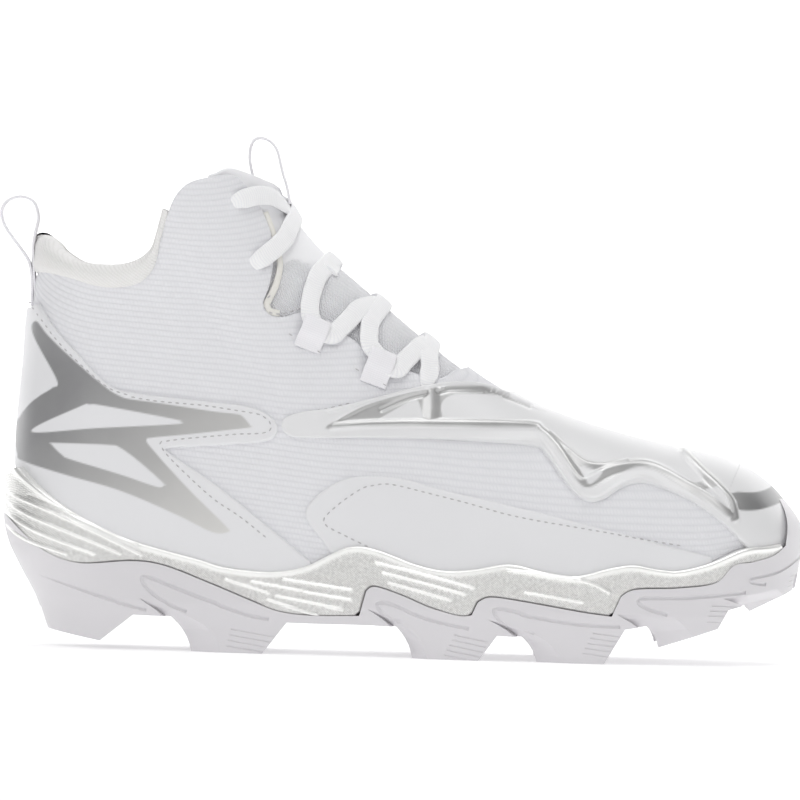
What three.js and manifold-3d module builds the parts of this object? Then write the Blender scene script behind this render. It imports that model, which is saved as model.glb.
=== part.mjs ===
// A right moulded cleat of about a men's US 9: a knit mid-top upper with a padded collar, heel counter,
// side panels, toe cage, tongue and laces, on a two-layer moulded sole with studs.
// Millimetres, +X to the toe, +Y to the inner (big toe) side, +Z up, floor at z = 0.
import * as THREE from "three";
import { mergeVertices } from "three/addons/utils/BufferGeometryUtils.js";
import Module from "manifold-3d";

const wasm = await Module();
wasm.setup();

// Driving dimensions
const shoeLength = 302; // heel plane to the tip of the toe guard
const heelPlane = -149; // x of the heel plane
const soleHeight = 46; // floor to the top of the sole at the toe, the unit of the sole's tables
const upperHeight = 140; // from there to just above the tongue, the unit of the upper's tables
const ballWidth = 97; // widest part of the last
const gap = 0.3; // clearance between neighbouring pieces
const upperWall = 2;
const insoleThickness = 4;
const tongueThickness = 4.5;
const collarThickness = 7;
const collarSwell = 0.8; // how far the collar stands proud of the upper
const liningDepth = 24; // how far the padded lining reaches down inside the upper
const counterThickness = 1.3;
const panelThickness = 0.9;
const cageThickness = 1.5;
const rimThickness = 2.3; // wall of the moulded cup around the upper
const plateStep = 0.5; // the tread stands this much proud of the cup
const featherRound = 12; // rounding of the last's bottom edge
const heelRound = 31; // rounding of the last's back, seen from above
const toeRound = 42; // rounding of the last's toe, seen from above
const studDepth = 15; // from the sole's edge inwards
const studDraft = 0.14; // how much a stud's outer face leans in, per millimetre of height
const studSlot = 13; // space between the left and right studs at heel and toe
const laceWidth = 7;
const laceThickness = 2.2;
const laceOver = 1.1; // height of the upper one of two crossing runs, in thicknesses
const strapWidth = 14;
const strapThickness = 1.1;
const webbingWidth = 10;
const webbingThickness = 1;
const halfSpan = 90; // reach of a cutting prism to each side

// Powers of the rounded sections: 2 is an ellipse, more is squarer
const domePower = 1.9;
const heelPower = 2.3;
const toePower = 3;
const featherPower = 8;

// Mesh density of the last
const rayCount = 22;
const stepCount = 9;
const stepCrowding = 2.4; // above 1 the steps of a ray crowd towards its two ends
const rayCrowding = 1.35; // above 1 the rays crowd towards the toe
const laceSteps = 5; // on each side of the ridge

const rows = (columns, values) =>
  values.map((row) => Object.fromEntries(columns.map((column, i) => [column, row[i]])));

// Half widths and crown of the last: lateral and medial are shares of half the ball width,
// centre is a share of the ball width towards the big toe, dome is a share of the upper height.
const sections = rows(
  ["along", "lateral", "medial", "centre", "dome"],
  [
    [-0.1, 0.62, 0.62, 0, 0.3],
    [0, 0.64, 0.64, 0, 0.3],
    [0.1, 0.69, 0.68, 0, 0.3],
    [0.2, 0.71, 0.69, 0, 0.3],
    [0.3, 0.74, 0.7, 0, 0.34],
    [0.4, 0.8, 0.72, 0, 0.5],
    [0.5, 0.88, 0.79, 0, 0.6],
    [0.6, 0.96, 0.9, 0, 0.52],
    [0.68, 1, 0.97, 0.005, 0.44],
    [0.75, 1, 0.98, 0.012, 0.38],
    [0.85, 0.95, 0.89, 0.03, 0.29],
    [0.95, 0.84, 0.79, 0.055, 0.2],
    [1, 0.77, 0.72, 0.07, 0.17],
    [1.15, 0.7, 0.66, 0.08, 0.16],
  ],
);

// Waist of the leg part: the half widths are multiplied by this at each height
const legSwell = rows(
  ["up", "swell"],
  [
    [-0.5, 1],
    [0.1, 1],
    [0.3, 0.95],
    [0.45, 0.91],
    [0.6, 0.93],
    [0.8, 1.01],
    [1, 1.06],
    [1.3, 1.08],
  ],
);

// Ridge over the toes, instep and shin, from toe to top
const ridge = rows(
  ["along", "up"],
  [
    [1.13, 0.15],
    [1, 0.2],
    [0.935, 0.222],
    [0.875, 0.238],
    [0.798, 0.268],
    [0.722, 0.312],
    [0.661, 0.36],
    [0.6, 0.43],
    [0.539, 0.523],
    [0.477, 0.63],
    [0.415, 0.738],
    [0.384, 0.803],
    [0.359, 0.87],
    [0.343, 0.94],
    [0.33, 1.02],
    [0.314, 1.14],
    [0.302, 1.24],
  ],
);

// Back of the last, from under the heel to above the collar
const back = rows(
  ["up", "along"],
  [
    [-0.4, 0.09],
    [-0.28, 0.07],
    [-0.2, 0.058],
    [-0.12, 0.04],
    [-0.06, 0.027],
    [0, 0.02],
    [0.09, 0.0185],
    [0.17, 0.018],
    [0.27, 0.019],
    [0.36, 0.0215],
    [0.44, 0.0245],
    [0.54, 0.0265],
    [0.63, 0.0305],
    [0.71, 0.034],
    [0.78, 0.037],
    [0.85, 0.04],
    [1, 0.045],
    [1.2, 0.049],
  ],
);

// Front of the last at the toe
const front = rows(
  ["up", "along"],
  [
    [-0.35, 0.955],
    [-0.19, 0.975],
    [-0.12, 0.983],
    [0, 0.991],
    [0.06, 0.99],
    [0.12, 0.985],
    [0.3, 0.972],
    [0.6, 0.965],
  ],
);

// Bottom edge of the last
const feather = rows(
  ["along", "share"],
  [
    [-0.1, 0.82],
    [0.027, 0.79],
    [0.123, 0.729],
    [0.25, 0.628],
    [0.376, 0.519],
    [0.502, 0.46],
    [0.628, 0.45],
    [0.754, 0.481],
    [0.854, 0.598],
    [0.929, 0.753],
    [1.003, 0.99],
    [1.1, 1.3],
  ],
);

// Upper edge of the moulded cup, a wave around the shoe
const cupTop = rows(
  ["along", "share"],
  [
    [-0.05, 1.6],
    [-0.01, 1.55],
    [0.016, 1.453],
    [0.037, 1.308],
    [0.079, 1.134],
    [0.122, 1.01],
    [0.185, 0.865],
    [0.249, 0.76],
    [0.312, 0.681],
    [0.358, 0.69],
    [0.4, 0.771],
    [0.436, 0.895],
    [0.47, 0.883],
    [0.521, 0.769],
    [0.56, 0.725],
    [0.61, 0.768],
    [0.65, 0.785],
    [0.7, 0.72],
    [0.745, 0.748],
    [0.79, 0.812],
    [0.835, 0.778],
    [0.884, 0.844],
    [0.923, 0.966],
    [0.971, 1.025],
    [1.06, 1.15],
  ],
);

// Line between cup and tread: smooth sweeps, each one stepping up to the next
const treadSweeps = [
  rows(
    ["along", "share"],
    [
      [-0.05, 1.2],
      [0.002, 1.054],
      [0.03, 0.9],
      [0.06, 0.767],
      [0.102, 0.7],
      [0.165, 0.733],
      [0.207, 0.703],
      [0.26, 0.58],
      [0.313, 0.445],
      [0.349, 0.36],
      [0.39, 0.33],
      [0.452, 0.34],
    ],
  ),
  rows(
    ["along", "share"],
    [
      [0.46, 0.545],
      [0.471, 0.582],
      [0.504, 0.518],
      [0.54, 0.425],
      [0.576, 0.366],
      [0.592, 0.375],
    ],
  ),
  rows(
    ["along", "share"],
    [
      [0.599, 0.48],
      [0.616, 0.525],
      [0.663, 0.489],
      [0.729, 0.423],
      [0.766, 0.395],
    ],
  ),
  rows(
    ["along", "share"],
    [
      [0.777, 0.56],
      [0.795, 0.62],
      [0.848, 0.639],
      [0.895, 0.69],
      [0.917, 0.833],
      [0.942, 0.866],
      [0.968, 0.92],
      [0.983, 1],
    ],
  ),
];

// Edge of the toe guard, up from the cup's front end
const guardEdge = rows(
  ["along", "share"],
  [
    [0.983, 1.0],
    [0.985, 1.16],
    [0.981, 1.29],
    [0.971, 1.42],
    [0.966, 1.5],
  ],
);

// Underside of the tread between the studs
const underside = rows(
  ["along", "share"],
  [
    [-0.06, 0.36],
    [0.055, 0.32],
    [0.15, 0.295],
    [0.288, 0.275],
    [0.376, 0.262],
    [0.472, 0.262],
    [0.56, 0.24],
    [0.637, 0.206],
    [0.704, 0.225],
    [0.784, 0.29],
    [0.854, 0.38],
    [0.909, 0.46],
    [0.954, 0.56],
    [0.991, 0.72],
    [1.06, 1.0],
  ],
);

// Studs in side view. rear and fore are where the faces leave the tread, sole and tip are the ends
// of the foot with their heights above the floor, and hollow is how far the rear face curves in.
const studs = rows(
  ["name", "rear", "heelEnd", "heelRise", "toeEnd", "toeRise", "fore", "hollow"],
  [
    ["heel", -0.06, 0.051, 0.158, 0.129, 0.069, 0.17, 0.1],
    ["heelFront", 0.188, 0.243, 0, 0.332, 0, 0.362, 0.4],
    ["ball", 0.472, 0.519, 0, 0.602, 0, 0.624, 0.4],
    ["forefoot", 0.624, 0.674, 0, 0.758, 0, 0.783, 0.4],
    ["toeBack", 0.786, 0.826, 0.145, 0.899, 0.31, 0.912, 0.4],
    ["toe", 0.911, 0.94, 0.453, 0.999, 0.64, 1.06, 0.4],
  ],
);
const studRoot = 0.12; // share of the sole height that a stud runs up into the tread

// Upper's top line in side view: padded collar seam, front of the collar, eyestay, notch and throat
const collarSeam = rows(
  ["along", "up"],
  [
    [0.02, 0.675],
    [0.051, 0.678],
    [0.08, 0.666],
    [0.108, 0.648],
    [0.133, 0.643],
    [0.155, 0.649],
    [0.174, 0.669],
    [0.188, 0.71],
    [0.194, 0.779],
    [0.202, 0.866],
  ],
);
const eyestay = rows(
  ["along", "up"],
  [
    [0.211, 0.905],
    [0.226, 0.934],
    [0.25, 0.95],
    [0.281, 0.958],
    [0.298, 0.926],
    [0.315, 0.873],
    [0.328, 0.81],
    [0.333, 0.745],
    [0.329, 0.667],
    [0.322, 0.615],
    [0.33, 0.585],
    [0.349, 0.58],
    [0.371, 0.594],
    [0.395, 0.578],
    [0.424, 0.54],
    [0.458, 0.49],
    [0.494, 0.455],
    [0.53, 0.428],
    [0.552, 0.432],
    [0.572, 0.465],
  ],
);
const collarRim = rows(
  ["along", "up"],
  [
    [0.02, 0.782],
    [0.044, 0.791],
    [0.064, 0.746],
    [0.09, 0.716],
    [0.122, 0.706],
    [0.151, 0.708],
    [0.172, 0.724],
    [0.186, 0.752],
    [0.191, 0.79],
    [0.2, 0.866],
  ],
);

// Overlays in side view
const counterOutline = rows(
  ["along", "up"],
  [
    [-0.03, 0.65],
    [0.021, 0.63],
    [0.045, 0.574],
    [0.064, 0.527],
    [0.09, 0.468],
    [0.116, 0.41],
    [0.139, 0.374],
    [0.175, 0.36],
    [0.25, 0.346],
    [0.306, 0.335],
    [0.334, 0.31],
    [0.344, 0.276],
    [0.33, 0.244],
    [0.269, 0.229],
    [0.21, 0.217],
    [0.212, 0.2],
    [0.268, 0.123],
    [0.334, 0.016],
    [0.402, -0.099],
    [0.3, -0.2],
    [-0.03, -0.2],
  ],
);
const panelOutline = rows(
  ["along", "up"],
  [
    [0.42, -0.08],
    [0.405, -0.023],
    [0.382, 0.045],
    [0.394, 0.098],
    [0.43, 0.148],
    [0.473, 0.157],
    [0.51, 0.148],
    [0.553, 0.124],
    [0.62, 0.095],
    [0.716, 0.05],
    [0.8, 0.009],
    [0.9, -0.038],
    [0.94, -0.1],
    [0.7, -0.2],
  ],
);
const cageOutline = rows(
  ["along", "up"],
  [
    [0.349, 0.278],
    [0.351, 0.305],
    [0.375, 0.325],
    [0.406, 0.335],
    [0.469, 0.369],
    [0.504, 0.39],
    [0.539, 0.406],
    [0.569, 0.412],
    [0.6, 0.407],
    [0.624, 0.39],
    [0.66, 0.45],
    [1.1, 0.45],
    [1.1, -0.05],
    [0.955, -0.05],
    [0.937, -0.018],
    [0.901, 0.056],
    [0.862, 0.113],
    [0.824, 0.146],
    [0.799, 0.158],
    [0.776, 0.145],
    [0.755, 0.115],
    [0.735, 0.104],
    [0.716, 0.125],
    [0.698, 0.171],
    [0.679, 0.224],
    [0.66, 0.249],
    [0.558, 0.26],
    [0.458, 0.26],
    [0.368, 0.256],
  ],
);

// The tongue's own ends in side view: the band under the eyestay, up to its free top
const tongueOutline = rows(
  ["along", "up"],
  [
    [0.245, 0.945],
    [0.262, 0.965],
    [0.285, 0.98],
    [0.31, 0.978],
    [0.36, 0.99],
    [0.5, 0.95],
    [0.64, 0.5],
    [0.61, 0.365],
    [0.575, 0.34],
    [0.494, 0.372],
    [0.43, 0.44],
    [0.367, 0.496],
    [0.318, 0.51],
    [0.294, 0.568],
    [0.285, 0.649],
    [0.291, 0.725],
    [0.277, 0.824],
    [0.254, 0.905],
  ],
);

// Lacing on one side, from the top down: eyelet or webbing loop, and where the ridge is crossed below it
const lacing = rows(
  ["along", "up", "crossUp"],
  [
    [0.281, 0.879, 0.869],
    [0.309, 0.718, 0.745],
    [0.392, 0.618, 0.635],
    [0.474, 0.53, 0.53],
    [0.529, 0.455, 0],
  ],
);
const webbingLoops = rows(
  ["along", "up", "tipAlong", "tipUp"],
  [
    [0.374, 0.5, 0.386, 0.572],
    [0.457, 0.418, 0.469, 0.487],
  ],
);

// Pull loops in side view, from one sewn end round to the other
const heelLoop = rows(
  ["along", "up"],
  [
    [0.0255, 0.643],
    [0.0275, 0.7],
    [0.0293, 0.753],
    [0.0315, 0.791],
    [0.0345, 0.826],
    [0.032, 0.856],
    [0.026, 0.876],
    [0.014, 0.885],
    [0.002, 0.881],
    [-0.008, 0.866],
    [-0.012, 0.84],
    [-0.009, 0.804],
    [0.001, 0.767],
    [0.014, 0.73],
    [0.0205, 0.695],
    [0.0215, 0.66],
    [0.0195, 0.643],
  ],
);
const tongueLoop = rows(
  ["along", "up"],
  [
    [0.3505, 0.903],
    [0.346, 0.93],
    [0.339, 0.977],
    [0.333, 1.026],
    [0.325, 1.051],
    [0.314, 1.062],
    [0.304, 1.058],
    [0.299, 1.038],
    [0.298, 1.008],
    [0.3, 0.981],
    [0.303, 0.955],
    [0.307, 0.925],
  ],
);

// Where the fan of rays that meshes the last starts, and its last ray
const fan = { along: 0.784, up: 1.303, topAlong: 0.046, topUp: 0.92 };

// From shares to millimetres
const xAt = (along) => heelPlane + along * shoeLength;
const zUp = (up) => soleHeight + up * upperHeight;
const zSole = (share) => share * soleHeight;
const upperPoint = (row) => new THREE.Vector2(xAt(row.along), zUp(row.up));
const solePoint = (row) => new THREE.Vector2(xAt(row.along), zSole(row.share));

// Row of a table at a value of its first column, with smooth changes between the rows
function rowAt(table, key, value) {
  let i = 0;
  while (i < table.length - 2 && table[i + 1][key] < value) i++;
  const [a, b] = [table[i], table[i + 1]];
  const [before, after] = [table[Math.max(i - 1, 0)], table[Math.min(i + 2, table.length - 1)]];
  const span = b[key] - a[key];
  const t = THREE.MathUtils.clamp((value - a[key]) / span, 0, 1);
  const found = {};
  for (const column of Object.keys(a)) {
    const slopeA = (b[column] - before[column]) / (b[key] - before[key]);
    const slopeB = (after[column] - a[column]) / (after[key] - a[key]);
    const rise = b[column] - a[column];
    found[column] =
      a[column] +
      span * slopeA * t * (1 - t) ** 2 +
      rise * t * t * (3 - 2 * t) +
      span * slopeB * t * t * (t - 1);
  }
  return found;
}

// A smooth line through points, as evenly spaced points
const smooth = (points, count) => new THREE.SplineCurve(points).getPoints(count);

const ridgeLine = smooth(ridge.map(upperPoint), 90);

// Distance from a side-view point to the ridge, positive below and behind it
function ridgeDepth(x, z) {
  let best = Infinity;
  let side = 1;
  for (let i = 0; i < ridgeLine.length - 1; i++) {
    const [a, b] = [ridgeLine[i], ridgeLine[i + 1]];
    const [dx, dz] = [b.x - a.x, b.y - a.y];
    const along = ((x - a.x) * dx + (z - a.y) * dz) / (dx * dx + dz * dz);
    const t = THREE.MathUtils.clamp(along, 0, 1);
    const distance = Math.hypot(x - a.x - t * dx, z - a.y - t * dz);
    if (distance < best) {
      best = distance;
      side = dx * (z - a.y) - dz * (x - a.x) >= 0 ? 1 : -1;
    }
  }
  return best * side;
}

const edgeLoss = (depth, reach, power) => (depth >= reach ? 0 : (1 - depth / reach) ** power);

// What is left of the full half width at a side-view point: 1 well inside the last, 0 at its outline.
// grow moves every face outwards, drop lowers the bottom edge.
function fullness(x, z, grow, drop) {
  const along = (x - heelPlane) / shoeLength;
  const up = (z - soleHeight) / upperHeight;
  const dome = rowAt(sections, "along", along).dome * upperHeight;
  const behind = x - xAt(rowAt(back, "up", up).along);
  const ahead = xAt(rowAt(front, "up", up).along) - x;
  const above = z - zSole(rowAt(feather, "along", along).share);
  return (
    1 -
    edgeLoss(ridgeDepth(x, z) + grow, dome + grow, domePower) -
    edgeLoss(behind + grow, heelRound + grow, heelPower) -
    edgeLoss(ahead + grow, toeRound + grow, toePower) -
    edgeLoss(above + grow + drop, featherRound + grow, featherPower)
  );
}

// y of the last's surface on one side at a side-view point
function surfaceY(x, z, side, grow = 0, drop = 0) {
  const along = (x - heelPlane) / shoeLength;
  const section = rowAt(sections, "along", along);
  const swell = rowAt(legSwell, "up", (z - soleHeight) / upperHeight).swell;
  const draft = studDraft * Math.max(0, zSole(0.4) - z);
  const full = (section[side] * swell * ballWidth) / 2 + grow - draft;
  const half = full * Math.sqrt(Math.max(0, fullness(x, z, grow, drop)));
  return section.centre * ballWidth + (side === "medial" ? half : -half);
}

// Manifold solid of a closed geometry, and geometry of a solid
function solidOf(geometry) {
  const bare = new THREE.BufferGeometry();
  bare.setAttribute("position", geometry.getAttribute("position"));
  if (geometry.index) bare.setIndex(geometry.index);
  const merged = mergeVertices(bare, 1e-4);
  return new wasm.Manifold(
    new wasm.Mesh({
      numProp: 3,
      vertProperties: merged.attributes.position.array,
      triVerts: new Uint32Array(merged.index.array),
    }),
  );
}

function geometryOf(solid) {
  const mesh = solid.getMesh();
  const geometry = new THREE.BufferGeometry();
  geometry.setAttribute("position", new THREE.BufferAttribute(mesh.vertProperties, 3));
  geometry.setIndex(new THREE.BufferAttribute(mesh.triVerts, 1));
  geometry.computeVertexNormals();
  return geometry;
}

// Closed solid of rings of points, each ring joined to the next and both ends capped as strips
function ringSolid(rings) {
  const count = rings[0].length;
  const faces = [];
  for (let i = 0; i < rings.length - 1; i++)
    for (let k = 0; k < count; k++) {
      const [a, b] = [i * count + k, i * count + ((k + 1) % count)];
      faces.push(a, b, b + count, a, b + count, a + count);
    }
  const last = (rings.length - 1) * count;
  for (let k = 1; k < count / 2; k++) {
    const [near, far] = [k, count - k];
    const [nextNear, nextFar] = [k + 1, count - k - 1];
    if (k === 1) {
      faces.push(0, far, near);
      faces.push(last, last + near, last + far);
    }
    if (nextNear === nextFar) {
      faces.push(near, far, nextNear);
      faces.push(last + near, last + nextNear, last + far);
    } else if (nextNear < nextFar) {
      faces.push(near, far, nextFar, near, nextFar, nextNear);
      faces.push(last + near, last + nextFar, last + far, last + near, last + nextNear, last + nextFar);
    }
  }
  const geometry = new THREE.BufferGeometry();
  const positions = rings.flat().flatMap((p) => [p.x, p.y, p.z]);
  geometry.setAttribute("position", new THREE.Float32BufferAttribute(positions, 3));
  geometry.setIndex(faces);
  return solidOf(geometry);
}

// The part of a ray from the fan's centre that lies inside the last, as distances, or null
function chord(angle, grow, drop) {
  const centre = upperPoint(fan);
  const reach = shoeLength * 1.3;
  const inside = (r) =>
    fullness(centre.x + r * Math.sin(angle), centre.y - r * Math.cos(angle), grow, drop);
  const edge = (out, into) => {
    for (let i = 0; i < 30; i++) {
      const middle = (out + into) / 2;
      if (inside(middle) > 0) into = middle;
      else out = middle;
    }
    return into;
  };
  const step = reach / 260;
  let first = 0;
  for (; first < reach && inside(first) <= 0; first += step);
  if (first >= reach) return null;
  let final = first;
  while (inside(final + step) > 0) final += step;
  return [edge(first - step, first), edge(final + step, final)];
}

// Steepest ray that still touches the last at the toe
function toeAngle(grow, drop) {
  let [beyond, hit] = [Math.PI / 4, 0];
  for (let i = 0; i < 40; i++) {
    const middle = (beyond + hit) / 2;
    if (chord(middle, grow, drop)) hit = middle;
    else beyond = middle;
  }
  return hit;
}

// Angles of the rays, the same for every size of the last so that their facets lie side by side
const rayAngles = (() => {
  const centre = upperPoint(fan);
  const top = new THREE.Vector2(xAt(fan.topAlong), zUp(fan.topUp));
  const from = toeAngle(0, 0);
  const to = -Math.atan2(centre.x - top.x, centre.y - top.y);
  return Array.from({ length: rayCount }, (_, i) => {
    const t = (i + 1) / rayCount;
    return from + (to - from) * t ** rayCrowding;
  });
})();

// The last grown by a distance, as a solid: a fan of rays crosses it, and each ray makes one section
function lastSolid(grow, drop = 0) {
  const centre = upperPoint(fan);
  const first = toeAngle(grow, drop) - 1e-4;
  const angles = [first, ...rayAngles.filter((angle) => angle < first - 0.01)];
  const rings = angles.map((angle) => {
    const [near, far] = chord(angle, grow, drop);
    const side = (k, name) => {
      const [a, b] = [k ** stepCrowding, (stepCount - k) ** stepCrowding];
      const r = near + ((far - near) * a) / (a + b);
      const x = centre.x + r * Math.sin(angle);
      const z = centre.y - r * Math.cos(angle);
      return new THREE.Vector3(x, surfaceY(x, z, name, grow, drop), z);
    };
    const ring = [];
    for (let k = 0; k <= stepCount; k++) ring.push(side(k, "medial"));
    for (let k = stepCount - 1; k > 0; k--) ring.push(side(k, "lateral"));
    return ring;
  });
  return ringSolid(rings);
}

// Straight solid across the shoe with a side-view outline
function sidePrism(points, from = -halfSpan, to = halfSpan) {
  const shape = new THREE.Shape(points);
  const geometry = new THREE.ExtrudeGeometry(shape, { depth: to - from, bevelEnabled: false });
  geometry.rotateX(Math.PI / 2);
  geometry.translate(0, to, 0);
  return solidOf(geometry);
}

// Flat strip of a width and thickness along points, each with its own width direction
function strip(stations, width, thickness) {
  const rings = stations.map(({ point, across }, i) => {
    const before = stations[Math.max(i - 1, 0)].point;
    const after = stations[Math.min(i + 1, stations.length - 1)].point;
    const along = after.clone().sub(before).normalize();
    const flat = across.clone().addScaledVector(along, -across.dot(along)).normalize();
    const thick = along.clone().cross(flat);
    const corner = (w, t) =>
      point.clone().addScaledVector(flat, (w * width) / 2).addScaledVector(thick, (t * thickness) / 2);
    return [
      corner(-1, -1),
      corner(1, -1),
      corner(1, 1),
      corner(-1, 1),
    ];
  });
  return ringSolid(rings);
}

// Lines of the sole in side view
const moved = (points, dz) => points.map((p) => new THREE.Vector2(p.x, p.y + dz));
const cupTopLine = smooth(cupTop.map(solePoint), 44);
const treadLine = treadSweeps.flatMap((sweep) => smooth(sweep.map(solePoint), sweep.length));
const guardLine = smooth(guardEdge.map(solePoint), 5);
const undersideLine = smooth(underside.map(solePoint), 16);
const farAhead = xAt(1.08);
const farBehind = xAt(-0.06);

const belowCup = sidePrism([
  ...moved(cupTopLine, gap),
  new THREE.Vector2(farAhead, zSole(-0.5)),
  new THREE.Vector2(farBehind, zSole(-0.5)),
]);
const guardZone = sidePrism([
  new THREE.Vector2(guardLine[0].x - gap, zSole(-0.5)),
  ...guardLine.map((p) => new THREE.Vector2(p.x - gap, p.y)),
  new THREE.Vector2(farAhead, zSole(1.5)),
  new THREE.Vector2(farAhead, zSole(-0.5)),
]);

const lasting = lastSolid(0);
const lastOuter = lastSolid(gap);
const hollowDrop = featherRound / 2 + upperWall; // opens the last's bottom when it is hollowed

// Upper: the knit shell, open at the throat, at the collar and underneath
function upperSolid() {
  const hollow = lastSolid(-upperWall, hollowDrop);
  const topLine = [...smooth(collarSeam.map(upperPoint), 14), ...smooth(eyestay.map(upperPoint), 30)];
  const mouth = sidePrism([
    ...topLine,
    new THREE.Vector2(xAt(0.62), zUp(0.6)),
    new THREE.Vector2(xAt(0.62), zUp(1.5)),
    new THREE.Vector2(xAt(-0.1), zUp(1.5)),
    new THREE.Vector2(xAt(-0.1), zUp(collarSeam[0].up)),
  ]);
  return lasting.subtract(hollow).subtract(mouth);
}

// Collar: the padded cuff above the seam, with the padded lining that carries it inside the heel
function collarSolid() {
  const seam = smooth(collarSeam.map(upperPoint), 14);
  const rim = smooth(collarRim.map(upperPoint), 14);
  const inner = lastSolid(-upperWall - gap - collarThickness, hollowDrop);
  const cuffZone = sidePrism([
    new THREE.Vector2(xAt(-0.1), seam[0].y + gap),
    ...seam.map((p) => new THREE.Vector2(p.x - gap, p.y + gap)),
    ...rim.toReversed(),
    new THREE.Vector2(xAt(-0.1), rim[0].y),
  ]);
  const liningZone = sidePrism([
    new THREE.Vector2(xAt(-0.1), seam[0].y - liningDepth),
    ...moved(seam.slice(0, 11), -liningDepth),
    ...rim.slice(0, 11).toReversed(),
    new THREE.Vector2(xAt(-0.1), rim[0].y),
  ]);
  const cuff = lastSolid(collarSwell).subtract(inner).intersect(cuffZone);
  const lining = lastSolid(-upperWall - gap).subtract(inner).intersect(liningZone);
  return cuff.add(lining);
}

// An overlay: a skin of a thickness on the last inside a side-view outline, clear of the sole
function overlaySolid(outline, thickness, from = -halfSpan, to = halfSpan) {
  const zone = sidePrism(outline.map(upperPoint), from, to);
  const skin = lastSolid(gap + thickness).subtract(lastOuter);
  return skin.intersect(zone).subtract(belowCup).subtract(guardZone);
}

function tongueSolid() {
  const outer = lastSolid(-upperWall - gap, hollowDrop);
  const inner = lastSolid(-upperWall - gap - tongueThickness, hollowDrop);
  return outer.subtract(inner).intersect(sidePrism(tongueOutline.map(upperPoint)));
}

function insoleSolid() {
  const inside = -upperWall - gap;
  const line = smooth(feather.map(solePoint), 14);
  const slab = sidePrism([...moved(line, insoleThickness), ...moved(line, -gap * 4).toReversed()]);
  return lastSolid(inside, -inside).intersect(slab);
}

// Sole: the cup and the tread are one body in side view, parted along the tread line
const deep = 60; // lowers the last's bottom below the floor
const soleSkin = (step) => lastSolid(gap + rimThickness + step, deep);

function cupSolid() {
  const zone = sidePrism([
    ...moved(treadLine, gap / 2),
    new THREE.Vector2(farAhead, zSole(1.0)),
    new THREE.Vector2(farAhead, zSole(1.2)),
    ...cupTopLine.toReversed(),
  ]);
  return soleSkin(0).intersect(zone).subtract(lastOuter).subtract(guardZone);
}

function studSolid(stud) {
  const rootAt = (along) => zSole(rowAt(underside, "along", along).share + studRoot);
  const shape = new THREE.Shape();
  const rear = new THREE.Vector2(xAt(stud.rear), rootAt(stud.rear));
  const heelEnd = new THREE.Vector2(xAt(stud.heelEnd), zSole(stud.heelRise));
  const bend = new THREE.Vector2(
    THREE.MathUtils.lerp(rear.x, heelEnd.x, 0.5 + stud.hollow),
    THREE.MathUtils.lerp(rear.y, heelEnd.y, 0.5 - stud.hollow / 4),
  );
  shape.moveTo(rear.x, rear.y);
  shape.quadraticCurveTo(bend.x, bend.y, heelEnd.x, heelEnd.y);
  shape.lineTo(xAt(stud.toeEnd), zSole(stud.toeRise));
  shape.lineTo(xAt(stud.fore), rootAt(stud.fore) - zSole(studRoot));
  shape.lineTo(xAt(stud.fore), rootAt(stud.fore));
  return sidePrism(shape.getPoints(2));
}

function treadSolid() {
  const floorLine = [new THREE.Vector2(farBehind, zSole(-0.5)), new THREE.Vector2(farAhead, zSole(-0.5))];
  const belowCupLine = sidePrism([
    ...floorLine,
    new THREE.Vector2(farAhead, zSole(1.5)),
    ...guardLine.toReversed(),
    ...moved(treadLine, -gap / 2).toReversed(),
  ]);
  const aboveUnderside = sidePrism([
    ...undersideLine,
    new THREE.Vector2(farAhead, zSole(2)),
    new THREE.Vector2(farBehind, zSole(2)),
  ]);
  const middle = sidePrism(
    [
      ...floorLine,
      new THREE.Vector2(farAhead, zSole(2)),
      new THREE.Vector2(farBehind, zSole(2)),
    ],
    -studSlot / 2,
    studSlot / 2,
  );
  const body = soleSkin(plateStep).intersect(belowCupLine);
  const edge = body.subtract(lastSolid(-studDepth, deep)).subtract(middle);
  let tread = body.intersect(aboveUnderside);
  for (const stud of studs) tread = tread.add(edge.intersect(studSolid(stud)));
  return tread.subtract(lastOuter).trimByPlane([0, 0, 1], 0);
}

// A point on the outside of the last, a height above its surface
function onLast(x, z, side, height) {
  return new THREE.Vector3(x, surfaceY(x, z, side, height), z);
}

// One lace run, from an eyelet over the ridge at the crossing to the next eyelet on the other side.
// The run that starts on the inner side lies a little higher.
function laceRun(from, crossUp, to, side) {
  const other = side === "lateral" ? "medial" : "lateral";
  const height = 4 * gap + laceThickness * (side === "lateral" ? 0.5 : laceOver);
  const step = 0.01;
  const over = upperPoint(rowAt(ridge, "up", crossUp));
  const slope = upperPoint(rowAt(ridge, "up", crossUp + step)).sub(over).normalize();
  over.add(new THREE.Vector2(slope.y, -slope.x).multiplyScalar(height));
  const half = (start, name) => {
    const points = [];
    for (let i = 0; i <= laceSteps; i++) {
      const t = Math.sin((Math.PI / 2) * (i / laceSteps));
      const x = THREE.MathUtils.lerp(start.x, over.x, t);
      const z = THREE.MathUtils.lerp(start.y, over.y, t);
      points.push(onLast(x, z, name, height));
    }
    points[laceSteps].y = 0;
    return points;
  };
  const path = [...half(from, side), ...half(to, other).toReversed().slice(1)];
  const forward = new THREE.Vector3(-slope.x, 0, -slope.y);
  return strip(path.map((point) => ({ point, across: forward })), laceWidth, laceThickness);
}

function laceSolid() {
  let all = null;
  for (let i = 0; i < lacing.length - 1; i++) {
    for (const side of ["lateral", "medial"]) {
      const [from, to] = [upperPoint(lacing[i]), upperPoint(lacing[i + 1])];
      const run = laceRun(from, lacing[i].crossUp, to, side);
      all = all ? all.add(run) : run;
    }
  }
  return all;
}

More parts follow.
